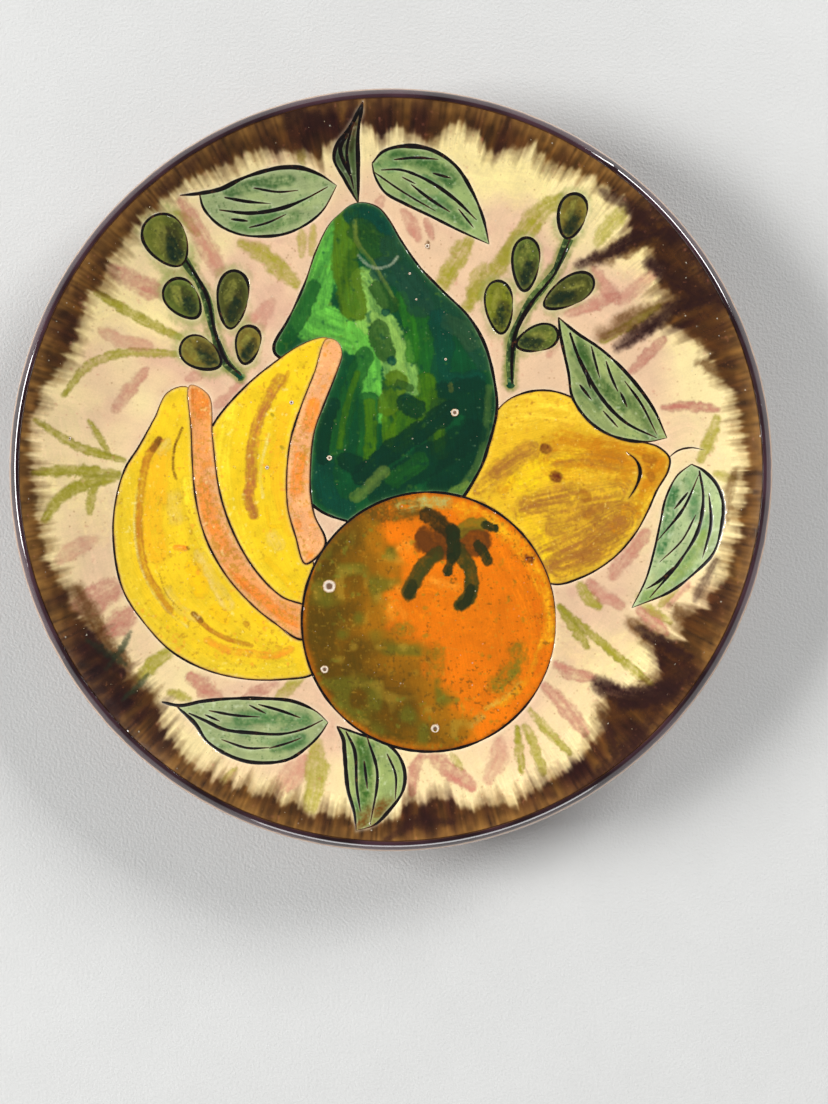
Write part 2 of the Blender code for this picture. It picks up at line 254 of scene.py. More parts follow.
def make_fired_skin():
    """Shared group: the slow ripple, fine orange peel and pinholes of a fired glaze, as a height
    in metres and a roughness."""
    group = node_group("fired_glaze_skin",
                       [("Ripple", "NodeSocketFloat", 1.0), ("Pinholes", "NodeSocketFloat", 1.0),
                        ("Base Roughness", "NodeSocketFloat", 0.15)],
                       [("Height", "NodeSocketFloat"), ("Roughness", "NodeSocketFloat"),
                        ("Pits", "NodeSocketFloat")])
    enter = group.nodes.new("NodeGroupInput")
    leave = group.nodes.new("NodeGroupOutput")
    place = place_on(group)
    slow = noise(group, place, 90.0, 2.0)
    peel = noise(group, place, 650.0, 2.0)
    cells = add(group, "ShaderNodeTexVoronoi", feature="F1")
    cells.inputs["Scale"].default_value = 260.0
    group.links.new(place, cells.inputs["Vector"])
    hole = ranged(group, cells.outputs["Distance"], 0.05, 0.11, 1.0, 0.0)
    chance = noise(group, place, 300.0, 0.0)
    rare = ranged(group, chance, 0.60, 0.66, 0.0, 1.0)
    pits = math_node(group, "MULTIPLY", math_node(group, "MULTIPLY", hole, rare), enter.outputs["Pinholes"])
    waves = math_node(group, "ADD", math_node(group, "MULTIPLY", slow, 0.00020),
                      math_node(group, "MULTIPLY", peel, 0.000025))
    waves = math_node(group, "MULTIPLY", waves, enter.outputs["Ripple"])
    height = math_node(group, "SUBTRACT", waves, math_node(group, "MULTIPLY", pits, 0.00008))
    matt = noise(group, place, 40.0, 3.0)
    uneven = ranged(group, matt, 0.3, 0.7, 0.85, 1.25)
    rough = math_node(group, "MULTIPLY", enter.outputs["Base Roughness"], uneven)
    rough = math_node(group, "ADD", rough, math_node(group, "MULTIPLY", pits, 0.35), clamp=True)
    group.links.new(height, leave.inputs["Height"])
    group.links.new(rough, leave.inputs["Roughness"])
    group.links.new(pits, leave.inputs["Pits"])
    return group


FIRED_SKIN = make_fired_skin()


def start_material(name):
    material = bpy.data.materials.new(name)
    material.use_nodes = True
    return material, material.node_tree, material.node_tree.nodes["Principled BSDF"]


def give_skin(tree, shader, ripple, pinholes, roughness, coat):
    """Put the shared glaze skin on a shader, under a clear coat of constant strength."""
    skin = add(tree, "ShaderNodeGroup", node_tree=FIRED_SKIN)
    skin.inputs["Ripple"].default_value = ripple
    skin.inputs["Pinholes"].default_value = pinholes
    skin.inputs["Base Roughness"].default_value = roughness
    bump = add(tree, "ShaderNodeBump")
    bump.inputs["Strength"].default_value = 1.0
    bump.inputs["Distance"].default_value = 1.0
    tree.links.new(skin.outputs["Height"], bump.inputs["Height"])
    tree.links.new(bump.outputs["Normal"], shader.inputs["Normal"])
    tree.links.new(skin.outputs["Roughness"], shader.inputs["Roughness"])
    shader.inputs["Coat Weight"].default_value = coat
    shader.inputs["Coat Roughness"].default_value = 0.05
    return skin


def reach_and_height(tree, place):
    """A point's distance from the upright axis, and its height."""
    apart = add(tree, "ShaderNodeSeparateXYZ")
    tree.links.new(place, apart.inputs[0])
    squares = math_node(tree, "ADD", math_node(tree, "POWER", apart.outputs[0], 2.0),
                        math_node(tree, "POWER", apart.outputs[1], 2.0))
    return math_node(tree, "SQRT", squares), apart.outputs[2]


def make_back_glaze():
    """Thin brown wash over clay: it breaks to orange-brown on the turning marks."""
    material, tree, shader = start_material("back_wash_glaze")
    place = place_on(tree)
    radius, _ = reach_and_height(tree, place)
    drift = noise(tree, place, 14.0, 2.0)
    rings = math_node(tree, "SINE", math_node(tree, "ADD", math_node(tree, "MULTIPLY", radius, 1500.0),
                                              math_node(tree, "MULTIPLY", drift, 9.0)))
    blotch = noise(tree, place, 28.0, 4.0, 0.6)
    colour = mix_colour(tree, "MIX", ranged(tree, blotch, 0.35, 0.65, 0.0, 1.0),
                        shade((86, 47, 30)), shade((134, 80, 48)))
    worn = ranged(tree, rings, 0.2, 1.0, 0.0, 0.35)
    colour = mix_colour(tree, "MIX", worn, colour, shade((168, 108, 66)))
    specks = ranged(tree, noise(tree, place, 900.0, 1.0), 0.66, 0.72, 0.0, 0.8)
    colour = mix_colour(tree, "MIX", specks, colour, shade((44, 24, 18)))
    tree.links.new(colour, shader.inputs["Base Color"])
    skin = give_skin(tree, shader, 1.2, 1.0, 0.28, 0.35)
    bump = next(node for node in tree.nodes if node.type == "BUMP")
    marks = math_node(tree, "ADD", skin.outputs["Height"], math_node(tree, "MULTIPLY", rings, 0.00004))
    tree.links.new(marks, bump.inputs["Height"])
    return material


def back_section():
    """Half section of the disc: over the hidden face, down the wall and in under the floor."""
    over = [(radius, float(face_height(radius)) + 0.1)
            for radius in np.linspace(FLOOR_RADIUS, WALL_RADIUS, 13)]
    under = rounded([(145.0, 20.5), (139.0, 16.6), (133.0, 13.5), (122.0, 10.3), (108.0, 7.4),
                     (98.0, 6.2), (90.3, 6.0)], 2.0)
    return [(0.0, FLOOR_TOP + 0.1)] + over + [tuple(point) for point in under] + [(0.0, 6.0)]


body = thrown("plate_body_thrown", back_section(), make_back_glaze())
belongs(body, "back_glaze", "plate_body")


# ---- Foot ring --------------------------------------------------------------------------------
# The ring the plate stands on, turned from the same clay when it was leather hard. It is wiped
# clean of glaze before firing, so bare sandy clay shows, rubbed darker where it stands.

def make_bare_clay():
    material, tree, shader = start_material("bare_foot_clay")
    place = place_on(tree)
    cloudy = noise(tree, place, 60.0, 4.0, 0.6)
    grit = noise(tree, place, 1400.0, 2.0, 0.7)
    colour = mix_colour(tree, "MIX", ranged(tree, cloudy, 0.3, 0.7, 0.0, 1.0),
                        shade((150, 94, 64)), shade((190, 132, 94)))
    colour = mix_colour(tree, "MIX", ranged(tree, grit, 0.6, 0.7, 0.0, 0.7), colour, shade((98, 60, 44)))
    colour = mix_colour(tree, "MIX", ranged(tree, grit, 0.4, 0.3, 0.0, 0.6), colour, shade((214, 176, 140)))
    _, height = reach_and_height(tree, place)
    dirty = ranged(tree, height, 0.0, 0.0012, 0.45, 0.0)
    colour = mix_colour(tree, "MIX", dirty, colour, shade((92, 74, 62)))
    tree.links.new(colour, shader.inputs["Base Color"])
    tree.links.new(ranged(tree, grit, 0.3, 0.7, 0.65, 0.9), shader.inputs["Roughness"])
    bump = add(tree, "ShaderNodeBump")
    bump.inputs["Distance"].default_value = 0.00012
    tree.links.new(grit, bump.inputs["Height"])
    tree.links.new(bump.outputs["Normal"], shader.inputs["Normal"])
    return material


FOOT_SECTION = [(82.0, 5.75), (90.0, 5.75), (90.6, 3.0), (90.0, 1.1), (89.2, 0.3), (88.4, 0.0),
                (83.4, 0.0), (82.6, 0.3), (82.0, 1.1), (81.7, 3.0)]
foot = thrown("foot_ring_bare", FOOT_SECTION, make_bare_clay())
belongs(foot, "bare_clay", "foot_ring")


# ---- Lip ----------------------------------------------------------------------------------------
# The edge of the plate, dipped in thick aubergine glaze. It is a short outward bevel between two
# rounded corners, and the glaze breaks to pale clay along the outermost one. One small chip shows.

CHIP_REACH = 0.1464
CHIP_TURN = math.radians(54.0)
CHIP_WIDTH = 0.0013
CHIP_DEPTH = 0.0007
CHIP_FLOOR = 0.024


def make_lip_glaze():
    material, tree, shader = start_material("aubergine_lip_glaze")
    place = place_on(tree)
    radius, height = reach_and_height(tree, place)
    radius = math_node(tree, "MULTIPLY", radius, 1000.0)
    uneven = math_node(tree, "SUBTRACT", noise(tree, place, 120.0, 3.0), 0.5)
    edge = math_node(tree, "ADD", radius, math_node(tree, "MULTIPLY", uneven, 0.7))
    depth = noise(tree, place, 45.0, 3.0)
    colour = mix_colour(tree, "MIX", ranged(tree, depth, 0.35, 0.65, 0.0, 1.0),
                        shade((34, 16, 20)), shade((70, 44, 52)))
    amber = ranged(tree, edge, 145.9, 145.2, 0.0, 0.9)
    colour = mix_colour(tree, "MIX", amber, colour, shade((128, 84, 40)))
    broken = ranged(tree, edge, 148.9, 149.35, 0.0, 0.85)
    colour = mix_colour(tree, "MIX", broken, colour, shade((188, 158, 134)))
    under = ranged(tree, height, 0.0242, 0.0232, 0.0, 0.9)
    colour = mix_colour(tree, "MIX", under, colour, shade((92, 52, 36)))
    tree.links.new(colour, shader.inputs["Base Color"])
    give_skin(tree, shader, 0.8, 1.0, 0.1, 1.0)
    return material


LIP_SECTION = [(145.25, 26.6), (145.3, 27.3), (145.7, 27.8), (146.3, 28.0), (147.0, 27.85),
               (147.9, 27.2), (148.6, 26.5), (149.2, 25.7), (149.7, 24.9), (150.0, 24.0),
               (149.9, 23.1), (149.4, 22.3), (148.4, 21.5), (147.0, 20.9), (145.3, 20.4)]
lip = thrown("rim_lip_glazed", rounded(LIP_SECTION, 0.35), make_lip_glaze(), steps=480)
for vertex in lip.data.vertices:
    away = math.hypot(vertex.co.x - CHIP_REACH * math.cos(CHIP_TURN),
                      vertex.co.y - CHIP_REACH * math.sin(CHIP_TURN))
    if vertex.co.z > CHIP_FLOOR:
        vertex.co.z -= CHIP_DEPTH * math.exp(-(away / CHIP_WIDTH) ** 2)
belongs(lip, "lip_glaze", "rim_lip")


# ---- Orange -------------------------------------------------------------------------------------
# The frontmost fruit, so it is drawn first. Its outline was cut into the soft slip with a point,
# then the field was brushed with orange, gold and olive-brown oxides under a clear glaze.

GLAZE_TOP = 0.9
LINE_STEP = 0.6
EDGE_DROP = 0.12
SKIRT = 0.75
covers = {}
cuts = []


def looped(points, step):
    """A smooth line through a few points, closed into a ring."""
    knots = np.array(points, float).reshape(-1, 2)
    knots = np.vstack([knots[-1:], knots, knots[:2]])
    return through(knots, step)[:-1]


def eased(share):
    """A share from 0 to 1 that starts and ends gently."""
    return share * share * (3 - 2 * share)


def cloud(x, y, size, seed):
    """Smooth random values between -1 and 1 that change over about size millimetres."""
    table = np.random.default_rng(seed).uniform(-1, 1, (256, 256))
    u = x / size + 1000
    v = y / size + 1000
    i = np.floor(u).astype(int)
    j = np.floor(v).astype(int)
    s = (u - i) ** 2 * (3 - 2 * (u - i))
    t = (v - j) ** 2 * (3 - 2 * (v - j))
    low = table[i % 256, j % 256] * (1 - s) + table[(i + 1) % 256, j % 256] * s
    high = table[i % 256, (j + 1) % 256] * (1 - s) + table[(i + 1) % 256, (j + 1) % 256] * s
    return low * (1 - t) + high * t


def within(x, y, outline):
    """Whether each point lies inside a closed outline."""
    inside = np.zeros(len(x), bool)
    for (ax, ay), (bx, by) in zip(outline, np.roll(outline, -1, axis=0)):
        if ay == by:
            continue
        crosses = (ay > y) != (by > y)
        inside ^= crosses & (x < (bx - ax) * (y - ay) / (by - ay) + ax)
    return inside


def incise(line, width, ends=(0.0, 0.0), fades=(0.15, 0.15)):
    """Cut one line: it swells and thins as the point is pressed, and tapers towards its ends.
    Where a nearer motif hides it, the line stops."""
    shown = np.ones(len(line), bool)
    for outline in covers.values():
        shown &= ~within(line[:, 0], line[:, 1], outline)
    seed = 900 + len(cuts)
    along = np.arange(len(line)) * LINE_STEP
    press = 1 + 0.28 * cloud(along, 0 * along, 9.0, seed) + 0.12 * cloud(along, 0 * along, 2.5, seed + 1)
    share = np.linspace(0, 1, len(line))
    start = np.clip(share / max(fades[0], 1e-6), 0, 1)
    stop = np.clip((1 - share) / max(fades[1], 1e-6), 0, 1)
    press = press * (ends[0] + (1 - ends[0]) * start ** 0.7) * (ends[1] + (1 - ends[1]) * stop ** 0.7)
    half = np.maximum(width / 2 * press, 0.07)
    index = 0
    while index < len(line):
        if not shown[index]:
            index += 1
            continue
        last = index
        while last + 1 < len(line) and shown[last + 1]:
            last += 1
        if last - index >= 2:
            cuts.append(strip(line[index:last + 1], half[index:last + 1]))
        index = last + 1


def strip(line, half):
    """A cut line with its two sides."""
    run = np.gradient(line, axis=0)
    run /= np.maximum(np.linalg.norm(run, axis=1), 1e-9)[:, None]
    side = np.stack([-run[:, 1], run[:, 0]], axis=1) * half[:, None]
    return {"line": line, "half": half, "left": line + side, "right": line - side}


def ring_line(outline):
    """A closed outline as an open line whose last point meets its first."""
    return np.vstack([outline, outline[:1]])


def search_tree(points):
    """A tree that finds the nearest of some flat points."""
    tree = kdtree.KDTree(len(points))
    for index, (px, py) in enumerate(points):
        tree.insert((px, py, 0.0), index)
    tree.balance()
    return tree


def nearest_cut(x, y, lines):
    """Distance from each point to the side of the nearest cut line, below 0 inside the line."""
    tree = search_tree(np.vstack([cut["line"] for cut in lines]))
    halves = np.concatenate([cut["half"] for cut in lines])
    away = np.empty(len(x))
    for index, (px, py) in enumerate(zip(x, y)):
        _, found, distance = tree.find((px, py, 0.0))
        away[index] = distance - halves[found]
    return away


def surface_height(x, y, away):
    """Top of the glaze in millimetres: it sags a little towards each cut line and ripples slowly."""
    level = face_height(np.hypot(x, y)) + GLAZE_TOP
    sag = EDGE_DROP * np.exp(-np.maximum(away, 0) / 0.55)
    return level - sag + 0.035 * cloud(x, y, 7.0, 11) + 0.02 * cloud(x, y, 3.0, 12)


def box_of(points):
    return points.min(axis=0), points.max(axis=0)


def boxes_meet(first, second):
    (low_a, high_a), (low_b, high_b) = box_of(first), box_of(second)
    return bool(np.all(low_a <= high_b) and np.all(low_b <= high_a))


def anticlockwise(face, corners):
    """The face's corner numbers, turned round if they run clockwise."""
    x, y = corners[face, 0], corners[face, 1]
    turning = np.sum(x * np.roll(y, -1) - np.roll(x, -1) * y)
    return face if turning > 0 else face[::-1]


def fill(corners, faces, grid):
    """Triangles through all points, each with the numbers of the given faces that it lies in."""
    points = [Vector(point) for point in np.vstack([corners, grid]).tolist()]
    faces = [anticlockwise(face, corners) for face in faces]
    found = delaunay_2d_cdt(points, [], faces, 0, 1e-5, True)
    return np.array([tuple(point) for point in found[0]]), found[2], found[5]


def triangulate(outline, hidden_by, lines, spacing):
    """Fill what shows of an outline with near equal triangles, stopping at the cut lines' sides."""
    corners = [outline]
    faces = [list(range(len(outline)))]
    count = len(outline)
    for cover in hidden_by:
        corners.append(cover)
        faces.append(list(range(count, count + len(cover))))
        count += len(cover)
    for cut in lines:
        amount = len(cut["line"])
        corners.append(cut["left"])
        corners.append(cut["right"])
        for index in range(amount - 1):
            faces.append([count + index, count + index + 1,
                          count + amount + index + 1, count + amount + index])
        count += 2 * amount
    corners = np.vstack(corners)
    low, high = box_of(outline)
    rows = np.arange(low[1], high[1], spacing * 0.866)
    grid = []
    for number, height in enumerate(rows):
        across = np.arange(low[0] + (number % 2) * spacing / 2, high[0], spacing)
        grid.append(np.stack([across, np.full(len(across), height)], axis=1))
    grid = np.vstack(grid)
    grid = grid[within(grid[:, 0], grid[:, 1], outline)]
    tree = search_tree(corners)
    clear = [tree.find((px, py, 0.0))[2] > 0.45 * spacing for px, py in grid]
    grid = grid[np.array(clear)]
    places, triangles, sources = fill(corners, faces, grid)
    wanted = [face for face, source in zip(triangles, sources) if source == [0]]
    return compact(places, np.array(wanted))


def compact(places, faces):
    """Drop the points that no face uses."""
    used, renumbered = np.unique(faces.ravel(), return_inverse=True)
    return places[used, 0], places[used, 1], renumbered.reshape(faces.shape)


def paint_coat(x, y, colour, away):
    """An evenly laid first coat: the colour of each point as seen, 0 to 255 a channel."""
    return {"x": x, "y": y, "away": away, "rgb": np.tile(np.array(colour, float), (len(x), 1))}


def blend(coat, colour, amount):
    """Shift the coat towards a colour, by a share from 0 to 1 at each point."""
    coat["rgb"] += (np.array(colour, float) - coat["rgb"]) * amount[:, None]


def brush(coat, colour, width, strength, path, seed=0, soft=0.4, bristle=0.35, ragged=0.16,
          grainy=0.35, pointed=0.0):
    """Draw one loaded brush stroke. Its bristles leave streaks along it, its edge is uneven, the
    oxide in it settles in grains, and a pointed stroke swells in the middle like a leaf."""
    line = rounded(path, 1.0)
    low, high = box_of(line)
    x, y = coat["x"], coat["y"]
    reach = width * 0.5 * (1 + ragged) * (1 + soft) + 1.0
    near = ((x > low[0] - reach) & (x < high[0] + reach) & (y > low[1] - reach) & (y < high[1] + reach))
    places = np.flatnonzero(near)
    if len(places) == 0:
        return
    px, py = x[places], y[places]
    gaps = (px[:, None] - line[:, 0]) ** 2 + (py[:, None] - line[:, 1]) ** 2
    found = gaps.argmin(axis=1)
    distance = np.sqrt(gaps[np.arange(len(places)), found])
    run = np.gradient(line, axis=0)[found]
    across = np.sign(run[:, 0] * (py - line[found, 1]) - run[:, 1] * (px - line[found, 0])) * distance
    share = found / max(len(line) - 1, 1)
    swell = 1 - pointed * (1 - np.sin(math.pi * np.clip(share * 0.92 + 0.04, 0, 1)) ** 0.6)
    edge = width / 2 * swell * (1 + ragged * cloud(px, py, max(width * 0.35, 1.2), seed + 31)
                                + 0.6 * ragged * cloud(px, py, 0.8, seed + 32))
    load = np.clip((edge - distance) / np.maximum(soft * width / 2, 0.45) + 0.35, 0, 1)
    load = eased(load)
    streaks = (cloud(found / 14, across / 0.6, 1.0, seed + 33) * 0.6
               + cloud(found / 9, across / 1.7, 1.0, seed + 34) * 0.5)
    grains = 0.6 * cloud(px, py, 0.7, seed + 35) + 0.5 * cloud(px, py, 2.1, seed + 36)
    load = load * strength * np.clip(1 - bristle * (0.4 - 0.9 * streaks) - grainy * (0.25 - grains), 0, 1.2)
    rim = np.exp(-((edge - distance) / 0.6) ** 2)
    target = np.array(colour, float) * (1 - 0.16 * rim + 0.10 * streaks + 0.06 * grains)[:, None]
    coat["rgb"][places] += (target - coat["rgb"][places]) * np.clip(load, 0, 1)[:, None]


def brush_all(coat, strokes, colours, seed, spread=1.0, **manner):
    """Draw a list of strokes: each is a colour, a width, a strength and its points as x, y, x, y."""
    for number, (colour, width, strength, *path) in enumerate(strokes):
        brush(coat, colours[colour], width * spread, strength, path, seed + 7 * number, **manner)


def speckle(coat, colour, size, share, strength, seed):
    """Fine grains of undissolved oxide, gathered in loose patches."""
    x, y = coat["x"], coat["y"]
    grain = cloud(x, y, size, seed) * 0.75 + cloud(x, y, size * 0.45, seed + 2) * 0.4
    patch = 0.5 + 0.5 * cloud(x, y, size * 14, seed + 1)
    rare = 0.85 - 2.4 * share * (0.5 + patch)
    blend(coat, colour, np.clip((grain - rare) / 0.3, 0, 1) * strength)


def mottle(coat, amount, size, seed):
    """Uneven thickness of the coat: lighter where it ran thin and deeper where it pooled."""
    x, y = coat["x"], coat["y"]
    deep = 0.6 * cloud(x, y, size, seed) + 0.4 * cloud(x, y, size * 0.35, seed + 1)
    warmth = 1 + amount * 0.35 * deep[:, None] * np.array([0.2, 0.0, -0.6])
    coat["rgb"] *= (1 + amount * deep)[:, None] * warmth


def edge_tint(coat, colour, reach, strength):
    """Colour that gathers along the cut lines, or the pale burr of slip beside them."""
    amount = strength * np.exp(-(np.maximum(coat["away"], 0) / reach) ** 2)
    amount *= 0.65 + 0.35 * cloud(coat["x"], coat["y"], 2.2, 77)
    blend(coat, colour, np.clip(amount, 0, 1))


def link(name, mesh, material):
    mesh.materials.append(material)
    return placed(name, mesh)


def glaze_mesh(name, coat, faces, heights, grain, material):
    """The finished patch: the painted top, and a short skirt down to the clay round its edge."""
    x, y = coat["x"], coat["y"]
    top = np.stack([x, y, heights], axis=1)
    sides = np.vstack([faces[:, [0, 1]], faces[:, [1, 2]], faces[:, [2, 0]]])
    keys = {(int(a), int(b)) for a, b in sides}
    rim = [(a, b) for a, b in keys if (b, a) not in keys]
    rim.sort()
    edge_points = sorted({a for a, b in rim} | {b for a, b in rim})
    below = {point: len(x) + place for place, point in enumerate(edge_points)}
    lower = top[edge_points] - np.array([0, 0, SKIRT])
    skirt = [(a, below[a], below[b], b) for a, b in rim]
    mesh = bpy.data.meshes.new(name)
    mesh.from_pydata((np.vstack([top, lower]) * MM).tolist(), [], faces.tolist() + skirt)
    owner = np.concatenate([np.arange(len(x)), np.array(edge_points, int)])
    seen = np.clip(coat["rgb"], 4, 252)[owner]
    light = np.concatenate([linear(seen), np.ones((len(owner), 1))], axis=1)
    paint = mesh.color_attributes.new("paint", "FLOAT_COLOR", "POINT")
    paint.data.foreach_set("color", light.astype(np.float32).ravel())
    flow = mesh.attributes.new("grain", "FLOAT_VECTOR", "POINT")
    along = np.stack([grain[0], grain[1], 0 * grain[0]], 1)[owner]
    flow.data.foreach_set("vector", along.astype(np.float32).ravel())
    mesh.shade_smooth()
    mesh.set_sharp_from_angle(angle=math.radians(60))
    return link(name, mesh, material)


def make_brushed_colour():
    """Shared group: a painted colour broken up by bristle streaks, cloudy depth and fine grain."""
    group = node_group("brushed_underglaze",
                       [("Colour", "NodeSocketColor", (0.5, 0.5, 0.5, 1.0)),
                        ("Streaks", "NodeSocketFloat", 0.2), ("Depth", "NodeSocketFloat", 0.2),
                        ("Grain", "NodeSocketFloat", 0.1)],
                       [("Colour", "NodeSocketColor"), ("Streak", "NodeSocketFloat")])
    enter = group.nodes.new("NodeGroupInput")
    leave = group.nodes.new("NodeGroupOutput")
    place = place_on(group)
    flow = add(group, "ShaderNodeAttribute", attribute_name="grain")
    stretch = add(group, "ShaderNodeMapping")
    stretch.inputs["Scale"].default_value = (0.07, 1.5, 1.0)
    group.links.new(flow.outputs["Vector"], stretch.inputs["Vector"])
    streak = noise(group, stretch.outputs["Vector"], 1.0, 3.0, 0.6)
    cloudy = noise(group, place, 130.0, 3.0, 0.6)
    fine = noise(group, place, 1500.0, 2.0, 0.6)
    total = math_node(group, "MULTIPLY", math_node(group, "SUBTRACT", streak, 0.5), enter.outputs["Streaks"])
    total = math_node(group, "ADD", total, math_node(
        group, "MULTIPLY", math_node(group, "SUBTRACT", cloudy, 0.5), enter.outputs["Depth"]))
    total = math_node(group, "ADD", total, math_node(
        group, "MULTIPLY", math_node(group, "SUBTRACT", fine, 0.5), enter.outputs["Grain"]))
    lift = math_node(group, "ADD", 1.0, math_node(group, "MULTIPLY", total, 2.0))
    lifted = add(group, "ShaderNodeVectorMath", operation="SCALE")
    group.links.new(enter.outputs["Colour"], lifted.inputs[0])
    group.links.new(lift, lifted.inputs["Scale"])
    group.links.new(lifted.outputs["Vector"], leave.inputs["Colour"])
    group.links.new(streak, leave.inputs["Streak"])
    return group


BRUSHED_COLOUR = make_brushed_colour()


def glazed(name, streaks, depth, grain, roughness=0.16, ripple=1.0, pinholes=1.0, coat=1.0):
    """Underglaze colour from the painted patch, brushed and grained, under a clear glaze."""
    material, tree, shader = start_material(name)
    paint = add(tree, "ShaderNodeAttribute", attribute_name="paint")
    brushed = add(tree, "ShaderNodeGroup", node_tree=BRUSHED_COLOUR)
    brushed.inputs["Streaks"].default_value = streaks
    brushed.inputs["Depth"].default_value = depth
    brushed.inputs["Grain"].default_value = grain
    tree.links.new(paint.outputs["Color"], brushed.inputs["Colour"])
    skin = give_skin(tree, shader, ripple, pinholes, roughness, coat)
    dusty = math_node(tree, "MULTIPLY", skin.outputs["Pits"], 0.5)
    colour = mix_colour(tree, "MIX", dusty, brushed.outputs["Colour"], shade((205, 196, 168)))
    tree.links.new(colour, shader.inputs["Base Color"])
    return material


def flow_along(x, y, degrees):
    """Brush direction as a place along and a place across it, in millimetres."""
    turn = math.radians(degrees)
    return (x * math.cos(turn) + y * math.sin(turn), -x * math.sin(turn) + y * math.cos(turn))


def lay_patch(outline, spacing=0.5):
    """What shows of an outline: its points, its faces, and how far each point is from a cut line."""
    hidden_by = [cover for cover in covers.values() if boxes_meet(cover, outline)]
    lines = [cut for cut in cuts if boxes_meet(np.vstack([cut["left"], cut["right"]]), outline)]
    x, y, faces = triangulate(outline, hidden_by, lines, spacing)
    away = nearest_cut(x, y, lines)
    return x, y, faces, away


def finish_patch(node, slot, coat, faces, grain, material):
    heights = surface_height(coat["x"], coat["y"], coat["away"])
    piece = glaze_mesh(node + "_painted", coat, faces, heights, grain, material)
    belongs(piece, slot, node)
    return piece


def oval_line(centre, half_width, half_length, lean=0.0, count=24, drop=0.0):
    """Points round an oval that leans anticlockwise from upright. A drop narrows at its foot."""
    turn = math.radians(lean)
    ring = []
    for index in range(count):
        angle = math.tau * index / count
        across = half_width * math.cos(angle) * (1 + drop * math.sin(angle))
        up = half_length * math.sin(angle)
        ring.append((centre[0] + across * math.cos(turn) - up * math.sin(turn),
                     centre[1] + across * math.sin(turn) + up * math.cos(turn)))
    return ring


orange_outline = looped(oval_line((15.0, -60.0), 50.5, 51.5), LINE_STEP)
# The star of dark green brush strokes round the stalk: its outer edge.
CALYX = [
    13, -16, 21, -19.5, 28, -20, 41, -22, 41, -24.5, 33, -24.5, 37, -31, 38, -36.5, 35, -36.5, 30.5, -28,
    28, -29.5, 32, -42, 31.5, -50, 27, -55, 26, -52, 28.5, -46, 26, -37, 22.5, -41, 22, -33, 18, -38, 11,
    -46, 7.5, -52, 4.5, -51, 7, -43, 13, -35, 18, -29, 10, -26.5, 11, -24, 19, -25.5, 13.5, -19,
]
calyx_outline = looped(CALYX, LINE_STEP)
incise(ring_line(orange_outline), 0.95)

ORANGE_COLOURS = {
    "olivebrown": (98, 70, 12), "brown": (150, 88, 12), "rust": (182, 90, 8), "olive": (122, 108, 22),
    "palegreen": (168, 172, 100), "gold": (238, 168, 20), "flame": (234, 122, 2),
    "deepflame": (220, 98, 0), "peachy": (244, 156, 50), "straw": (206, 180, 76),
    "maroon": (76, 18, 14), "soot": (52, 40, 12), "darkgreen": (32, 42, 18), "teal": (14, 44, 34),
    "umberolive": (60, 60, 18), "rustbrown": (98, 52, 12),
}
ORANGE_STROKES = [
    ("olivebrown", 14.0, 0.95, -10, -18, -21.5, -27, -27, -38, -29, -49, -28.5, -61.5),
    ("olivebrown", 15.4, 0.9, -15.5, -33.5, -18, -46, -20, -57.5),
    ("olivebrown", 16.8, 0.85, -27, -64.5, -21.5, -78.5, -11.5, -91, 2.5, -99.5, 16.5, -102.5),
    ("brown", 23.9, 0.65, -10, -68.5, -1.5, -78.5, 6.5, -85),
    ("rust", 6.3, 0.5, -8.5, -63.5, -0.5, -63),
    ("olive", 7.7, 0.6, -6, -43.5, -8, -49, -9.5, -54.5),
    ("olive", 5.6, 0.7, 4, -62.5, 6.5, -62.5),
    ("olive", 6.3, 0.6, 18, -71.5, 17.5, -80),
    ("olive", 7.7, 0.85, 51, -71.5, 49, -78.5, 43, -85),
    ("olivebrown", 8.6, 0.85, -18, -26, -10, -19, -0.5, -14.5, 10, -14.5),
    ("palegreen", 5.6, 0.75, 4, -14.5, 12.5, -12.5, 22, -12.5),
    ("olivebrown", 4.2, 0.7, -0.5, -18.5, 9.5, -16.5),
    ("gold", 6.4, 0.95, 28, -15, 37.5, -19, 47.5, -26.5, 57.5, -38.5, 62, -50, 63, -66),
    ("flame", 8.4, 0.8, 43, -33.5, 53, -49, 57.5, -64.5, 54.5, -77),
    ("deepflame", 3.5, 0.6, 58, -53, 60, -67, 57.5, -80),
    ("flame", 16.8, 0.7, 14, -53, 23.5, -57.5, 34, -59),
    ("peachy", 6.3, 0.7, 0.5, -35, 6, -30),
    ("peachy", 4.9, 0.6, 16, -43.5, 26.5, -47),
    ("peachy", 4.2, 0.5, -0.5, -43.5, 4, -47.5),
    ("peachy", 3.5, 0.4, 2.5, -53, 5.5, -58),
    ("peachy", 0.7, 0.8, 21, -70, 28, -71.5, 35, -72.5),
    ("straw", 7.0, 0.35, -10, -66.5, -8, -68.5),
    ("straw", 5.6, 0.35, -2.5, -54.5, -1, -57.5),
    ("straw", 4.9, 0.45, 5.5, -100, 8, -100.5),
    ("palegreen", 3.2, 0.6, 22, -102.5, 30.5, -101.5, 36, -97.5),
    ("straw", 2.4, 0.6, 37.5, -94.5, 44.5, -90.5, 51, -83.5),
    ("flame", 9.8, 0.7, 25, -90.5, 31.5, -87.5),
    ("maroon", 3.1, 0.95, 54.5, -35, 55.5, -35),
    ("maroon", 2.5, 0.8, 36, -13.5, 37, -14),
    ("gold", 2.4, 0.75, 44, -93, 51, -87, 56, -79, 60, -68),
    ("soot", 5.6, 0.7, -26.5, -78, -25.5, -79),
    ("soot", 4.2, 0.5, -26, -36.5, -25, -38),
    ("flame", 1.7, 0.8, -32.5, -46, -34, -60, -32, -75.5, -25.5, -88.5),
]
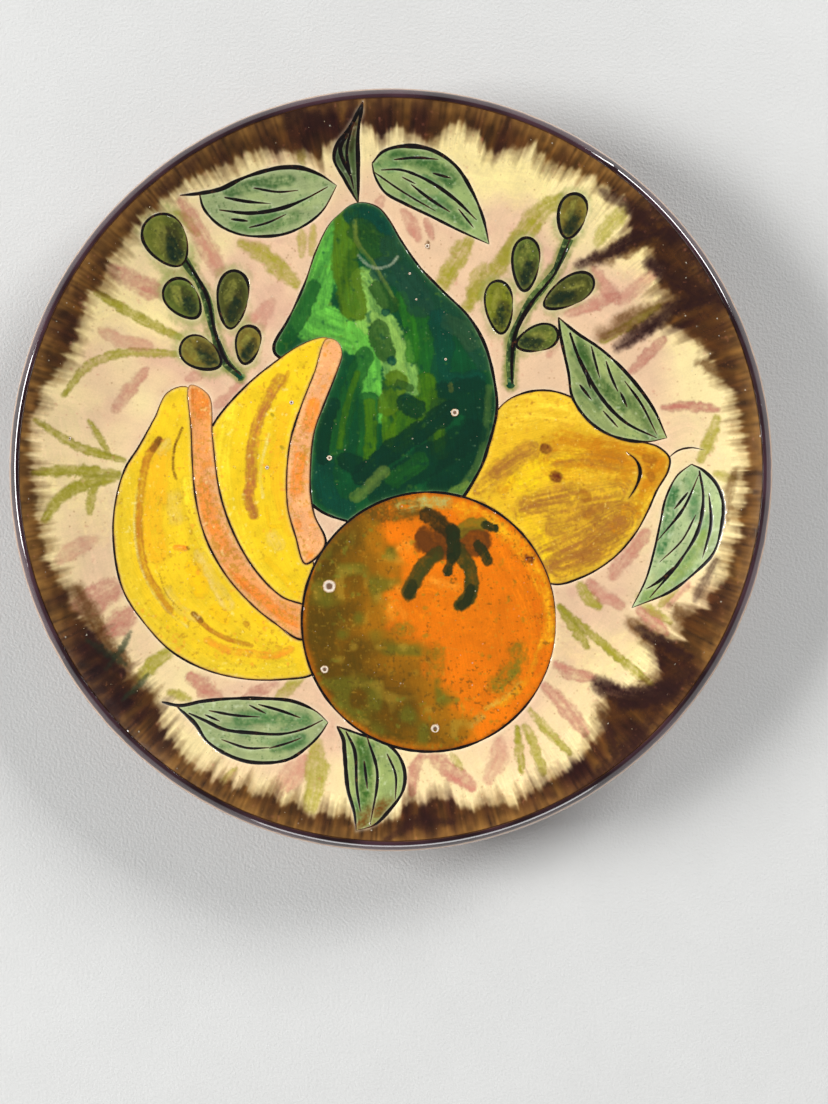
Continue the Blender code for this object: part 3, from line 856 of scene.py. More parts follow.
CALYX_STROKES = [
    ("rustbrown", 9.0, 0.95, 14.5, -28, 20, -28.5, 27, -28, 34, -28.5),
    ("rustbrown", 4.6, 0.7, 12.5, -26.5, 15, -30, 21, -33),
    ("umberolive", 4.8, 0.85, 18, -33, 12, -39, 9, -44, 7, -48.5),
    ("darkgreen", 3.4, 0.7, 8.5, -45.5, 7, -49),
    ("umberolive", 4.6, 0.9, 27, -31.5, 31, -39, 32, -46, 30.5, -50.5, 28, -53.5),
    ("darkgreen", 3.0, 0.8, 31.5, -47, 30.5, -51, 28, -53.5),
    ("olive", 4.2, 0.8, 27, -24.5, 31, -21.5, 36, -21),
    ("darkgreen", 2.8, 0.95, 37.5, -21.5, 41, -22.8),
    ("darkgreen", 3.3, 0.85, 34.5, -29.5, 37, -33, 38.2, -36),
    ("soot", 5.0, 0.95, 14.5, -17.5, 18.5, -20, 24, -25),
    ("darkgreen", 4.4, 0.95, 24.5, -24, 25, -29.5, 24.5, -34),
    ("darkgreen", 3.0, 0.9, 24, -34.5, 22.3, -40.2),
]


def paint_orange(x, y, away):
    coat = paint_coat(x, y, (232, 118, 2), away)
    mottle(coat, 0.08, 9.0, 201)
    brush_all(coat, ORANGE_STROKES, ORANGE_COLOURS, 210, spread=1.15, soft=0.95, bristle=0.55,
              ragged=0.3, grainy=0.6)
    # The shaded side: olive brown from the left edge in to a line that leans over to the lower right.
    turn_over = 1.0 + 0.75 * np.clip(-57 - y, 0, 50) - 0.5 * np.clip(y + 30, 0, 20)
    soft = 5.5 * cloud(x, y, 8.0, 206) + 3.0 * cloud(x, y, 2.6, 207)
    shaded = np.clip((turn_over - x + soft) / 9 + 0.35, 0, 1)
    shaded = eased(shaded) * np.clip((51.5 - np.hypot(x - 15, y + 60)) / 4, 0.25, 1)
    warm = np.clip(1.15 - np.abs(turn_over - x - 4) / 22 + 0.5 * cloud(x, y, 7.0, 208), 0, 1)
    umber = np.array([88, 66, 6.0])
    blend(coat, umber + (np.array([158, 104, 8.0]) - umber) * warm[:, None], 0.86 * shaded)
    blend(coat, (104, 104, 24), np.clip(1.4 * cloud(x, y, 6.5, 212) - 0.3, 0, 0.7) * shaded)
    blend(coat, (176, 144, 46), np.clip(1.3 * cloud(x, y, 5.0, 213) - 0.55, 0, 0.5) * shaded)
    speckle(coat, (200, 160, 56), 1.1, 0.12, 0.4, 203)
    speckle(coat, (190, 124, 20), 2.2, 0.14, 0.3, 209)
    speckle(coat, (84, 62, 14), 1.2, 0.14, 0.5, 205)
    speckle(coat, (120, 130, 40), 2.6, 0.12, 0.45, 211)
    for number, (colour, width, strength, *path) in enumerate(CALYX_STROKES):
        brush(coat, ORANGE_COLOURS[colour], width * 1.3, min(1.0, strength * 1.15), path, 400 + number,
              soft=0.3, bristle=0.2, grainy=0.2)
    edge_tint(coat, (96, 46, 10), 0.7, 0.5)
    return coat


orange_glaze = glazed("orange_under_glaze", 0.16, 0.16, 0.14)
covers["calyx"] = calyx_outline
x, y, faces, away = lay_patch(orange_outline)
finish_patch("orange_glaze", "orange", paint_orange(x, y, away), faces, flow_along(x, y, 100), orange_glaze)
del covers["calyx"]
x, y, faces, away = lay_patch(calyx_outline)
finish_patch("orange_calyx", "calyx_green", paint_orange(x, y, away), faces, flow_along(x, y, 90),
             glazed("calyx_under_glaze", 0.12, 0.14, 0.12))
covers["orange"] = orange_outline


# ---- Bananas ------------------------------------------------------------------------------------
# Two bananas, each in two fields: the yellow flesh side and the narrow shaded side. Their outlines
# fire thin and brown, and the yellow is streaked with ochre and umber.

LEFT_SHADE = [
    -80, 34, -79.5, 16, -78, -9, -74, -26, -66, -41, -55.5, -53, -47, -60, -35, -67, -30, -56, -43.5, -50,
    -54, -39.5, -62.5, -25, -68, -9, -71, 13, -72.5, 30,
]
LEFT_FLESH = [
    -77, 29, -81.5, 33.5, -89, 31, -94, 21, -100, 10, -106, 0, -110, -17, -109.5, -34, -106, -48, -99,
    -59, -88, -71, -75, -78.5, -60, -82.5, -43.5, -83, -30, -80, -28, -66, -40, -61, -49, -52, -60, -40,
    -68, -26, -73, -9, -75.5, 16,
]
RIGHT_SHADE = [
    -25.5, 52.5, -30.5, 39, -36, 25, -40, 12, -41.5, -2, -41, -15, -38, -26, -34, -37, -26, -29, -30.5,
    -17.5, -32, -8.5, -32, 2, -30.5, 15.5, -26, 28, -21.5, 39.5, -19.5, 46.5, -21, 51,
]
RIGHT_FLESH = [
    -23, 51, -26, 53, -35, 50.5, -48.5, 41.5, -59, 32.5, -70, 19.5, -74, 10, -73, -9, -68, -26, -60, -40,
    -49, -51, -36, -60, -28, -62, -31, -36, -35, -22, -37, -3, -35.5, 10, -31, 25, -26, 39,
]
BANANA_COLOURS = {
    "dull": (232, 200, 52), "clear": (247, 214, 46), "golden": (243, 178, 28), "beige": (222, 192, 122),
    "honey": (250, 190, 14), "ochre": (188, 116, 30), "umber": (106, 62, 18), "pale": (253, 238, 178),
    "tangerine": (244, 132, 38), "rust": (218, 112, 26), "sand": (228, 172, 118),
    "caramel": (176, 108, 48), "olivedot": (150, 130, 30),
}
LEFT_FLESH_STROKES = [
    ("dull", 6.9, 0.6, -105, -2, -107, -18.5, -106, -35.5, -100, -53.5, -89.5, -66.5, -74.5, -76.5,
     -56.5, -81, -40, -81),
    ("clear", 5.0, 0.8, -81, -4, -78, -20.5, -68, -37, -51.5, -53.5, -38, -62.5),
    ("golden", 9.6, 0.85, -91.5, 4.5, -93.5, -7, -95, -22, -93, -32),
    ("beige", 5.0, 0.6, -91, 8.5, -89.5, 11),
    ("beige", 5.1, 0.6, -76, -33.5, -71, -43.5, -64.5, -53.5),
    ("beige", 6.6, 0.4, -86, -10.5, -85.5, -18.5),
    ("beige", 4.1, 0.5, -88.5, -47.5, -84.5, -54.5, -77, -58.5),
    ("honey", 6.6, 0.8, -78.5, -38.5, -75.5, -47),
    ("honey", 5.8, 0.6, -69.5, -56, -66.5, -58.5),
    ("honey", 5.0, 0.6, -53, -58.5, -50.5, -60),
    ("ochre", 3.3, 0.9, -92.5, 12, -96.5, 6, -98.5, -2, -100, -14, -100, -27, -97.5, -39.5, -92.5, -48.5,
     -88, -55.5),
    ("umber", 2.5, 0.85, -92, 12.5, -94.5, 8.5),
    ("pale", 1.2, 0.6, -101, -7, -102, -20.5, -100.5, -33.5, -96, -46, -88.5, -56, -81, -62),
    ("umber", 1.2, 0.8, -83, 17, -86, 9.5, -86.5, 0.5, -85.5, -3),
    ("tangerine", 2.5, 0.7, -85.5, -30.5, -82, -31),
    ("umber", 1.2, 0.7, -81, -30.5, -80.5, -31),
    ("ochre", 2.0, 0.8, -58, -60.5, -57, -61),
    ("ochre", 2.0, 0.9, -78.5, -57, -73, -62.5, -64.5, -67, -55.5, -69.5),
    ("umber", 2.2, 0.7, -78.5, -57, -75.5, -59.5),
    ("tangerine", 3.1, 0.6, -73, -67.5, -64.5, -71.5, -56.5, -72.5, -46.5, -73.5, -40, -71),
    ("umber", 0.7, 0.6, -92, -41, -89.5, -48.5, -83.5, -55.5),
    ("clear", 3.3, 0.7, -68, -79, -53, -78.5, -40, -76.5),
    ("ochre", 1.7, 0.4, -45.5, -70, -44, -70.5),
]
LEFT_SHADE_STROKES = [
    ("rust", 6.9, 0.8, -75.5, 32.5, -75, 23.5),
    ("rust", 1.5, 0.8, -79, 32, -79, 12, -78, -7),
    ("tangerine", 5.0, 0.7, -74.5, -7, -72, -18.5, -66, -30.5),
    ("sand", 5.8, 0.6, -71, -0.5, -63, -25.5, -55.5, -36),
    ("tangerine", 4.1, 0.85, -61.5, -42.5, -51.5, -50.5, -43, -57.5, -37, -60.5),
    ("rust", 1.3, 0.5, -68, -35.5, -56.5, -47.5),
]
RIGHT_FLESH_STROKES = [
    ("clear", 6.9, 0.85, -63, 24.5, -67, 9.5, -66.5, -7, -61.5, -23.5, -53, -37, -43, -50),
    ("golden", 5.8, 0.7, -43, 24.5, -45.5, 6, -44, -10.5, -39.5, -23.5),
    ("caramel", 4.6, 0.95, -44, 36.5, -49.5, 27.5, -53.5, 17.5, -55.5, 6, -55.5, -4, -56.5, -9.5, -54.5,
     -17),
    ("caramel", 2.0, 0.9, -56.5, -10.5, -53.5, -18.5),
    ("ochre", 1.8, 0.5, -41, 39, -43, 32.5),
    ("pale", 1.5, 0.5, -48.5, 14.5, -52, -0.5, -51, -10.5),
    ("honey", 2.0, 0.6, -49.5, -14.5, -48, -22, -44, -22),
    ("beige", 5.8, 0.5, -47, -26, -45, -29.5),
    ("honey", 3.0, 0.4, -49.5, -35.5, -43, -42, -37.5, -48.5),
    ("olivedot", 1.5, 0.6, -43.5, 9.5, -43, 9),
    ("olivedot", 1.2, 0.6, -47.5, 22.5, -47, 22),
]
RIGHT_SHADE_STROKES = [
    ("tangerine", 5.8, 0.8, -30.5, 26.5, -32.5, 17.5),
    ("tangerine", 5.1, 0.8, -36, 5, -38, -8),
    ("tangerine", 3.3, 0.7, -37.5, -20.5, -37, -22),
    ("tangerine", 4.1, 0.8, -32, -34, -30.5, -35),
    ("sand", 3.3, 0.5, -27.5, 34, -25, 37.5),
]
flesh_glaze = glazed("banana_under_glaze", 0.12, 0.10, 0.12)
shade_glaze = glazed("banana_shade_under_glaze", 0.14, 0.22, 0.26)


def flow_round(x, y, centre):
    """Brush direction like flow_along, for a brush that swings round a centre."""
    away_x = x - centre[0]
    away_y = y - centre[1]
    radius = np.hypot(away_x, away_y)
    return (np.arctan2(away_y, away_x) * 60.0, radius)


def paint_banana(x, y, away, ground, strokes, seed, gritty):
    coat = paint_coat(x, y, ground, away)
    mottle(coat, 0.07, 6.0, seed)
    brush_all(coat, strokes, BANANA_COLOURS, seed + 10, spread=1.05, soft=0.6, bristle=0.5, grainy=0.45)
    speckle(coat, (186, 132, 30), 1.2, 0.14 * gritty, 0.55, seed + 3)
    speckle(coat, (246, 150, 50), 2.4, 0.12 * gritty, 0.5, seed + 5)
    speckle(coat, (255, 240, 170), 1.6, 0.10, 0.5, seed + 7)
    edge_tint(coat, (255, 236, 186), 0.9, 0.55)
    edge_tint(coat, (120, 62, 20), 0.35, 0.75)
    return coat


def paint_field(node, slot, outline, ground, strokes, seed, gritty, centre, material):
    x, y, faces, away = lay_patch(outline)
    coat = paint_banana(x, y, away, ground, strokes, seed, gritty)
    finish_patch(node, slot, coat, faces, flow_round(x, y, centre), material)


left_shade = looped(LEFT_SHADE, LINE_STEP)
left_flesh = looped(LEFT_FLESH, LINE_STEP)
right_shade = looped(RIGHT_SHADE, LINE_STEP)
right_flesh = looped(RIGHT_FLESH, LINE_STEP)
incise(ring_line(left_shade), 0.7)
paint_field("banana_left_shade", "peach", left_shade, (240, 160, 92), LEFT_SHADE_STROKES, 500, 2.0,
            (-10.0, 5.0), shade_glaze)
covers["left_shade"] = left_shade
incise(ring_line(left_flesh), 0.72)
paint_field("banana_left_flesh", "banana_yellow", left_flesh, (243, 202, 34), LEFT_FLESH_STROKES, 540, 1.0,
            (-10.0, 5.0), flesh_glaze)
covers["left_flesh"] = left_flesh
incise(ring_line(right_shade), 0.7)
paint_field("banana_right_shade", "peach", right_shade, (244, 172, 112), RIGHT_SHADE_STROKES, 580, 1.6,
            (40.0, 0.0), shade_glaze)
covers["right_shade"] = right_shade
incise(ring_line(right_flesh), 0.74)
paint_field("banana_right_flesh", "banana_yellow", right_flesh, (245, 204, 30), RIGHT_FLESH_STROKES, 620, 0.8,
            (30.0, 0.0), flesh_glaze)
covers["right_flesh"] = right_flesh


# ---- Pear ---------------------------------------------------------------------------------------
# The largest fruit: a bright green coat worked over with broad moss, forest and dark teal strokes
# that overlap like scales, and a thin pale arc near the top: a painted highlight, light glinting on the
# glaze.

PEAR = [
    -20, 102.5, -24.5, 98, -30, 87, -34.5, 74, -41, 60, -46.5, 50, -46, 46.5, -40, 43, -27, 38, -31, 25,
    -36, 5, -36, -8, -29.5, -15, -24, -18, -15, -20.5, 0, -22, 22, -17, 34.5, -1, 39, 11, 42, 24, 41.5,
    33, 37.5, 49.5, 31, 61, 20, 72, 11, 81.5, 4, 91.5, -1, 100, -5, 104.5, -11, 106.5, -16, 105.5,
]
PEAR_COLOURS = {
    "bright": (100, 180, 62), "lightgreen": (150, 192, 86), "midgreen": (40, 108, 22),
    "moss": (72, 102, 10), "teal": (4, 62, 50), "darkmoss": (36, 74, 24), "darkgrey": (26, 66, 48),
    "olive": (118, 132, 50), "greymoss": (58, 86, 50), "deep": (2, 46, 30), "forest": (22, 82, 30),
    "grass": (72, 112, 6), "tan": (116, 110, 42), "yellowolive": (132, 158, 58),
    "glint": (176, 180, 150),
}
PEAR_STROKES = [
    ("bright", 16.2, 0.95, -23, 93, -28.5, 80, -32, 62, -26, 58, -15.5, 54.5),
    ("bright", 9.4, 0.95, -14, 69, -14.5, 57, -9.5, 48.5, -8, 33, -5.5, 24),
    ("lightgreen", 10.0, 0.85, -11, 76, -4.5, 60, 2, 49, 7, 34),
    ("lightgreen", 9.0, 0.7, -10, 60, -2, 54, 1, 40),
    ("midgreen", 5.1, 0.85, 4, 69, 7.5, 57, 8.5, 45),
    ("midgreen", 7.7, 0.6, 11, 62, 14, 43.5, 16, 33),
    ("moss", 10.2, 0.9, -17.5, 100.5, -18, 89.5, -17.5, 76, -15, 64.5),
    ("teal", 9.4, 0.9, -14, 102, -9, 103, -3.5, 99, 0.5, 90.5),
    ("darkmoss", 10.2, 0.85, -12, 95.5, -7, 91, -1, 87),
    ("darkgrey", 9.4, 0.85, -3.5, 80, 3, 77.5, 8.5, 72.5, 11.5, 65.5),
    ("olive", 1.9, 0.7, -14.5, 99, -13.5, 91, -7, 82, 1.5, 67.5),
    ("darkmoss", 6.0, 0.85, -5.5, 72.5, -2.5, 67.5, 0, 66),
    ("teal", 2.9, 0.9, -2.5, 63, -2, 63),
    ("darkgrey", 10.2, 0.7, 1.5, 89.5, 9, 76.5, 19.5, 64.5, 30.5, 55.5, 37.5, 44.5),
    ("teal", 7.7, 0.7, 18.5, 60.5, 21, 50, 20, 37.5, 28, 35, 34, 36.5),
    ("greymoss", 6.8, 0.5, 23, 59, 29.5, 55.5, 32, 51),
    ("deep", 12.8, 0.85, 22, 28, 32, 30.5, 35.5, 20.5, 30.5, 7.5, 21, -5),
    ("olive", 2.9, 0.45, 39, 33, 37.5, 16, 34, 2.5, 28, -6),
    ("forest", 6.3, 0.9, -31.5, 72.5, -35, 64, -40.5, 54.5, -44.5, 48.5),
    ("darkmoss", 7.3, 0.9, -5, 56, -4, 51, -1.5, 46.5),
    ("teal", 3.4, 0.9, 0, 44, 0.5, 43.5),
    ("forest", 7.2, 0.9, -10.5, 45.5, -15.5, 33, -19, 20.5, -22, 6),
    ("grass", 2.6, 0.7, -13.5, 38.5, -18, 24.5, -20.5, 9.5),
    ("forest", 7.7, 0.9, -9, 27.5, -9, 16, -10, 3.5),
    ("grass", 4.6, 0.8, -8.5, 26.5, -8, 16, -9, 4),
    ("grass", 5.3, 0.8, -1, 22, -1, 12),
    ("grass", 10.2, 0.8, 8.5, 24.5, 5, 18, 3, 12),
    ("grass", 7.2, 0.8, 14, 35.5, 15, 28, 13.5, 19.5),
    ("moss", 8.5, 0.85, 2, 36, 1, 30.5, -1, 26),
    ("darkmoss", 3.4, 0.8, 3, 34.5, 7.5, 33),
    ("deep", 7.2, 0.85, 5.5, 27, 10, 24.5),
    ("darkmoss", 7.2, 0.85, 19, 25.5, 18, 16, 19.5, 8.5),
    ("grass", 4.3, 0.7, 19, 16, 19.5, 8.5),
    ("tan", 2.0, 0.7, 23.5, 34, 24, 32),
    ("deep", 8.0, 0.95, -11.5, -1.5, 3, 10, 13.5, 17, 23, 24),
    ("deep", 11.9, 0.8, -3.5, -9.5, 8.5, 0, 22, 8.5, 32, 14.5),
    ("midgreen", 6.8, 0.45, 1.5, -3.5, 11.5, 3.5),
    ("olive", 4.9, 0.7, -14, -10.5, -9.5, -7, -3, 0),
    ("teal", 7.7, 0.7, -26.5, 3.5, -27, -5, -23, -13, -17.5, -16),
    ("deep", 5.3, 0.8, -23, 26.5, -26.5, 16, -27.5, 5),
    ("deep", 7.2, 0.85, -17.5, 4, -14.5, 2.5),
    ("yellowolive", 3.9, 0.7, 24.5, -9, 30.5, -6),
    # Painted highlight: a thin pale arc that stands in for light glinting on the glaze near the top.
    ("glint", 1.4, 0.75, -13, 85.5, -9.5, 82, -5, 80.5, 0, 82, 2.5, 85),
]
pear_outline = looped(PEAR, LINE_STEP)
incise(ring_line(pear_outline), 1.2)
x, y, faces, away = lay_patch(pear_outline)
coat = paint_coat(x, y, (8, 70, 36), away)
mottle(coat, 0.16, 8.0, 701)
brush_all(coat, PEAR_STROKES, PEAR_COLOURS, 710, spread=1.08, soft=0.22, bristle=0.22, grainy=0.12)
speckle(coat, (150, 165, 120), 0.9, 0.05, 0.6, 703)
speckle(coat, (84, 116, 34), 2.2, 0.12, 0.5, 705)
speckle(coat, (4, 54, 40), 3.0, 0.12, 0.5, 707)
edge_tint(coat, (92, 124, 52), 1.3, 0.45)
edge_tint(coat, (196, 206, 176), 0.3, 0.45)
finish_patch("pear_glaze", "pear_green", coat, faces, flow_along(x, y, 96),
             glazed("pear_under_glaze", 0.30, 0.22, 0.16))
covers["pear"] = pear_outline


# ---- Leaves -------------------------------------------------------------------------------------
# Seven leaves in thin watery green. Each is drawn with two bold tapering strokes from stalk to tip,
# a middle vein and a few quick side veins that don't touch.

LEAVES = {
    "leaf_top_left": {
        "upper": [-83, 108, -75.5, 109, -67, 111, -59, 115, -52, 117.5, -43.5, 119.5, -35.5, 119.5,
                  -28, 117, -21.5, 113],
        "lower": [-75.5, 109, -74, 103.5, -68.5, 97.5, -61, 94, -53.5, 93, -42.5, 94, -33.5, 98,
                  -27, 103.5, -21.5, 113],
        "veins": [(1.1, -68, 103, -55.5, 102, -43.5, 104, -34.5, 107.5, -25, 112.5),
                  (0.9, -63.5, 107.5, -57, 106.5, -50, 106), (0.9, -52, 111.5, -45, 110.5, -39, 111),
                  (0.9, -54.5, 97, -49, 98.5, -43.5, 101), (0.8, -62.5, 99.5, -57.5, 99)],
        "bold": (1.9, 1.4), "wash": (162, 176, 120),
        "greens": [(94, 132, 66), (60, 102, 50), (162, 178, 114)], "strokes": 12,
        "pools": [((42, 80, 34), 5, 0.7, -64, 110, -52, 113, -40, 115),
                  ((70, 108, 50), 5, 0.6, -62, 98, -50, 97, -38, 101)],
    },
    "leaf_top_right": {
        "upper": [-7.5, 121.5, -3, 126, 5.5, 128, 16, 126.5, 25.5, 120.5, 32.5, 110, 36.5, 100.5, 39, 90],
        "lower": [-7.5, 121.5, -6.5, 117, -2.5, 110.5, 5.5, 106, 16, 101, 27, 95.5, 39, 90],
        "veins": [(1.2, -4, 119, 4, 119, 14.5, 115, 25, 108, 34, 99.5),
                  (0.9, 3.5, 123, 10, 123.5, 16.5, 123), (0.9, -4, 116.5, 5, 110.5, 14.5, 105),
                  (0.9, 10, 112, 16, 107.5, 21.5, 104), (0.8, 17.5, 117.5, 23, 116),
                  (0.8, 27.5, 103, 32, 97.5), (0.8, 5, 116, 9, 114)],
        "bold": (1.9, 1.5), "wash": (150, 170, 104),
        "greens": [(62, 104, 54), (86, 128, 72), (134, 160, 96)], "strokes": 12,
        "pools": [((36, 80, 30), 6, 0.7, 2, 124, 14, 122, 24, 115),
                  ((48, 92, 42), 5, 0.6, 6, 109, 18, 105, 30, 98)],
    },
    "leaf_stalk": {
        "upper": [-11, 144, -13, 132, -13, 121, -13, 106],
        "lower": [-11, 144, -16.5, 134, -21, 129, -22.5, 123, -18.5, 115.5, -13, 106],
        "veins": [(1.2, -17, 132, -20, 127, -16, 116), (0.9, -15, 133.5, -17, 125.5, -15, 115)],
        "bold": (2.0, 1.7), "wash": (68, 84, 42),
        "greens": [(48, 66, 32), (86, 102, 54), (32, 46, 28)], "strokes": 8,
        "pools": [((36, 30, 6), 5, 0.8, -14, 138, -17, 128), ((74, 34, 6), 7, 0.8, -11, 143, -14, 134)],
    },
    "leaf_lemon_top": {
        "upper": [66.5, 61, 67.5, 53, 70.5, 39, 72, 29.5, 77.5, 21, 84.5, 15.5, 92.5, 12.5, 102, 11.5,
                  109.5, 13],
        "lower": [66.5, 61, 73.5, 55, 82.5, 49, 90, 42.5, 98, 33.5, 104.5, 24, 109.5, 13],
        "veins": [(1.4, 71, 55, 75, 44, 84, 28.5, 93.5, 19, 105.5, 13), (0.9, 80, 48, 81, 44, 82.5, 38.5),
                  (0.9, 86, 42, 87.5, 37.5, 89.5, 33), (0.8, 91.5, 30.5, 93.5, 26),
                  (0.9, 94.5, 33, 99.5, 26, 104, 17), (0.8, 75.5, 33.5, 79, 29),
                  (0.8, 77.5, 39, 79, 33.5), (0.8, 85, 23, 89.5, 18)],
        "bold": (1.7, 1.7), "wash": (148, 162, 98),
        "greens": [(86, 114, 54), (62, 96, 50), (144, 158, 92)], "strokes": 14,
        "pools": [((46, 80, 28), 6, 0.7, 74, 48, 82, 36, 92, 26),
                  ((74, 100, 44), 6, 0.6, 96, 28, 103, 18)],
    },
    "leaf_lemon_side": {
        "upper": [119, 2.5, 123.5, 0, 128.5, -5.5, 131, -13, 130, -24, 127, -33, 119.5, -41, 110.5, -48,
                  95.5, -54.5],
        "lower": [119, 2.5, 113.5, -2, 109, -11, 107, -20, 104.5, -31.5, 101, -43.5, 95.5, -54.5],
        "veins": [(1.3, 122, 0, 123.5, -10.5, 121.5, -23.5, 114, -36.5, 102.5, -50.5),
                  (0.9, 120, -5, 115.5, -15, 108, -24.5), (0.9, 119, -20, 115, -27.5, 108.5, -34),
                  (0.9, 125.5, -12.5, 126, -21.5, 123.5, -31.5),
                  (0.9, 110.5, -39.5, 106.5, -43.5, 102.5, -46), (0.8, 117, -9.5, 113, -14.5)],
        "bold": (1.5, 1.3), "wash": (172, 188, 134),
        "greens": [(106, 142, 84), (74, 120, 70), (180, 188, 130)], "strokes": 14,
        "pools": [((44, 96, 48), 5, 0.75, 112, -8, 110, -20, 107, -32),
                  ((128, 152, 64), 6, 0.6, 124, -26, 114, -40, 102, -50)],
    },
    "leaf_bottom_left": {
        "upper": [-90.5, -91.5, -83.5, -93, -75, -91.5, -64, -90.5, -51.5, -90.5, -39.5, -91.5,
                  -30, -95.5, -25, -100],
        "lower": [-84.5, -93.5, -77.5, -100, -72.5, -107, -63, -113, -53.5, -115.5, -41, -114.5,
                  -33, -109.5, -28, -104.5, -25, -100],
        "veins": [
                  (1.3, -80, -96, -73.5, -99, -66, -102.5, -54.5, -104, -43.5, -104.5, -34.5,
                   -102.5, -27, -99),
                  (0.9, -69.5, -95.5, -61.5, -97, -54.5, -97.5),
                  (0.9, -50.5, -93.5, -43.5, -95.5, -38, -97.5),
                  (0.9, -64.5, -107, -57, -109.5, -50.5, -109.5),
                  (0.9, -46.5, -109.5, -41, -108, -37, -106.5), (0.8, -73, -97, -68.5, -99),
                  (0.8, -55.5, -93.5, -50.5, -96)],
        "bold": (1.8, 1.8), "wash": (160, 172, 116),
        "greens": [(102, 138, 84), (70, 114, 66), (160, 176, 126)], "strokes": 14,
        "pools": [((48, 100, 46), 6, 0.7, -60, -98, -46, -98, -34, -99),
                  ((42, 86, 36), 5, 0.6, -46, -110, -36, -107)],
    },
    "leaf_bottom_middle": {
        "upper": [-21.5, -101.5, -19, -106.5, -18.5, -111, -17, -126, -14.5, -134.5, -13.5, -141.5],
        "lower": [-21.5, -101.5, -11.5, -105, -2.5, -108, 3, -113, 5.5, -120, 4.5, -127, -1, -134.5,
                  -6.5, -139.5, -13.5, -141.5],
        "veins": [(1.2, -18, -103.5, -14.5, -111, -13.5, -125.5, -12, -134.5),
                  (1.0, -9, -110, -6, -120.5, -8, -135), (0.9, -1, -114.5, 1.5, -120.5, 1.5, -127.5),
                  (0.8, -10.5, -116.5, -9.5, -124.5)],
        "bold": (1.8, 1.5), "wash": (152, 168, 98),
        "greens": [(94, 124, 56), (62, 100, 44), (156, 168, 100)], "strokes": 10,
        "pools": [((44, 84, 24), 6, 0.75, -12, -108, -10, -120, -11, -132),
                  ((96, 54, 14), 9, 0.75, -14, -141, -8, -136, -1, -133)],
    },
}

leaf_glaze = glazed("leaf_under_glaze", 0.18, 0.22, 0.16)


def lengthened(path, share):
    """The same short cut drawn a little longer, about its own middle."""
    points = np.reshape(path, (-1, 2))
    middle = np.mean(points, axis=0)
    return middle + (points - middle) * share


def paint_leaf(x, y, away, leaf, seed):
    """Pale wash, greener strokes along the leaf, darker pools, and a white burr by the cut lines."""
    coat = paint_coat(x, y, leaf["wash"], away)
    mottle(coat, 0.10, 6.0, seed)
    middle = rounded(leaf["veins"][0][1:], 2.0)
    chance = np.random.default_rng(seed)
    for number in range(leaf["strokes"]):
        offset = chance.uniform(-9, 9, 2)
        start = chance.integers(0, max(1, len(middle) - 5))
        path = [tuple(middle[start] + offset), tuple(middle[min(start + 4, len(middle) - 1)] + offset * 0.7)]
        colour = leaf["greens"][int(chance.integers(0, len(leaf["greens"])))]
        brush(coat, colour, chance.uniform(2.5, 6.5), chance.uniform(0.35, 0.75), path, seed + 3 * number,
              soft=0.8, grainy=0.6, pointed=0.5)
    for colour, width, strength, *path in leaf["pools"]:
        brush(coat, colour, width, strength, path, seed + 200, soft=0.9, grainy=0.6)
    speckle(coat, (62, 96, 46), 1.0, 0.14, 0.5, seed + 5)
    speckle(coat, (212, 222, 184), 1.8, 0.12, 0.5, seed + 7)
    edge_tint(coat, (222, 230, 200), 0.6, 0.4)
    return coat


for number, (node, leaf) in enumerate(LEAVES.items()):
    upper = rounded(leaf["upper"], LINE_STEP)
    lower = rounded(leaf["lower"], LINE_STEP)
    outline = np.vstack([upper[:-1], lower[::-1][:-1]])
    incise(upper, leaf["bold"][0] * 0.8, fades=(0.10, 0.25), ends=(0.35, 0.12))
    incise(lower, leaf["bold"][1] * 0.8, fades=(0.10, 0.20), ends=(0.35, 0.15))
    for order, (width, *vein) in enumerate(leaf["veins"]):
        vein = lengthened(vein, 1.35 if order else 1.0)
        incise(rounded(vein, LINE_STEP), width * 1.2, ends=(0.35, 0.2), fades=(0.25, 0.4))
    x, y, faces, away = lay_patch(outline)
    coat = paint_leaf(x, y, away, leaf, 800 + 40 * number)
    first_x, first_y, *_, last_x, last_y = leaf["veins"][0][1:]
    lean = math.degrees(math.atan2(last_y - first_y, last_x - first_x))
    finish_patch(node, "leaf_green", coat, faces, flow_along(x, y, lean), leaf_glaze)
    covers[node] = outline


# ---- Lemon --------------------------------------------------------------------------------------
# Behind the pear, the orange and a leaf: yellow washed with drab ochre, with three dark spots and
# one short curved cut that turns the pointed end towards the viewer.

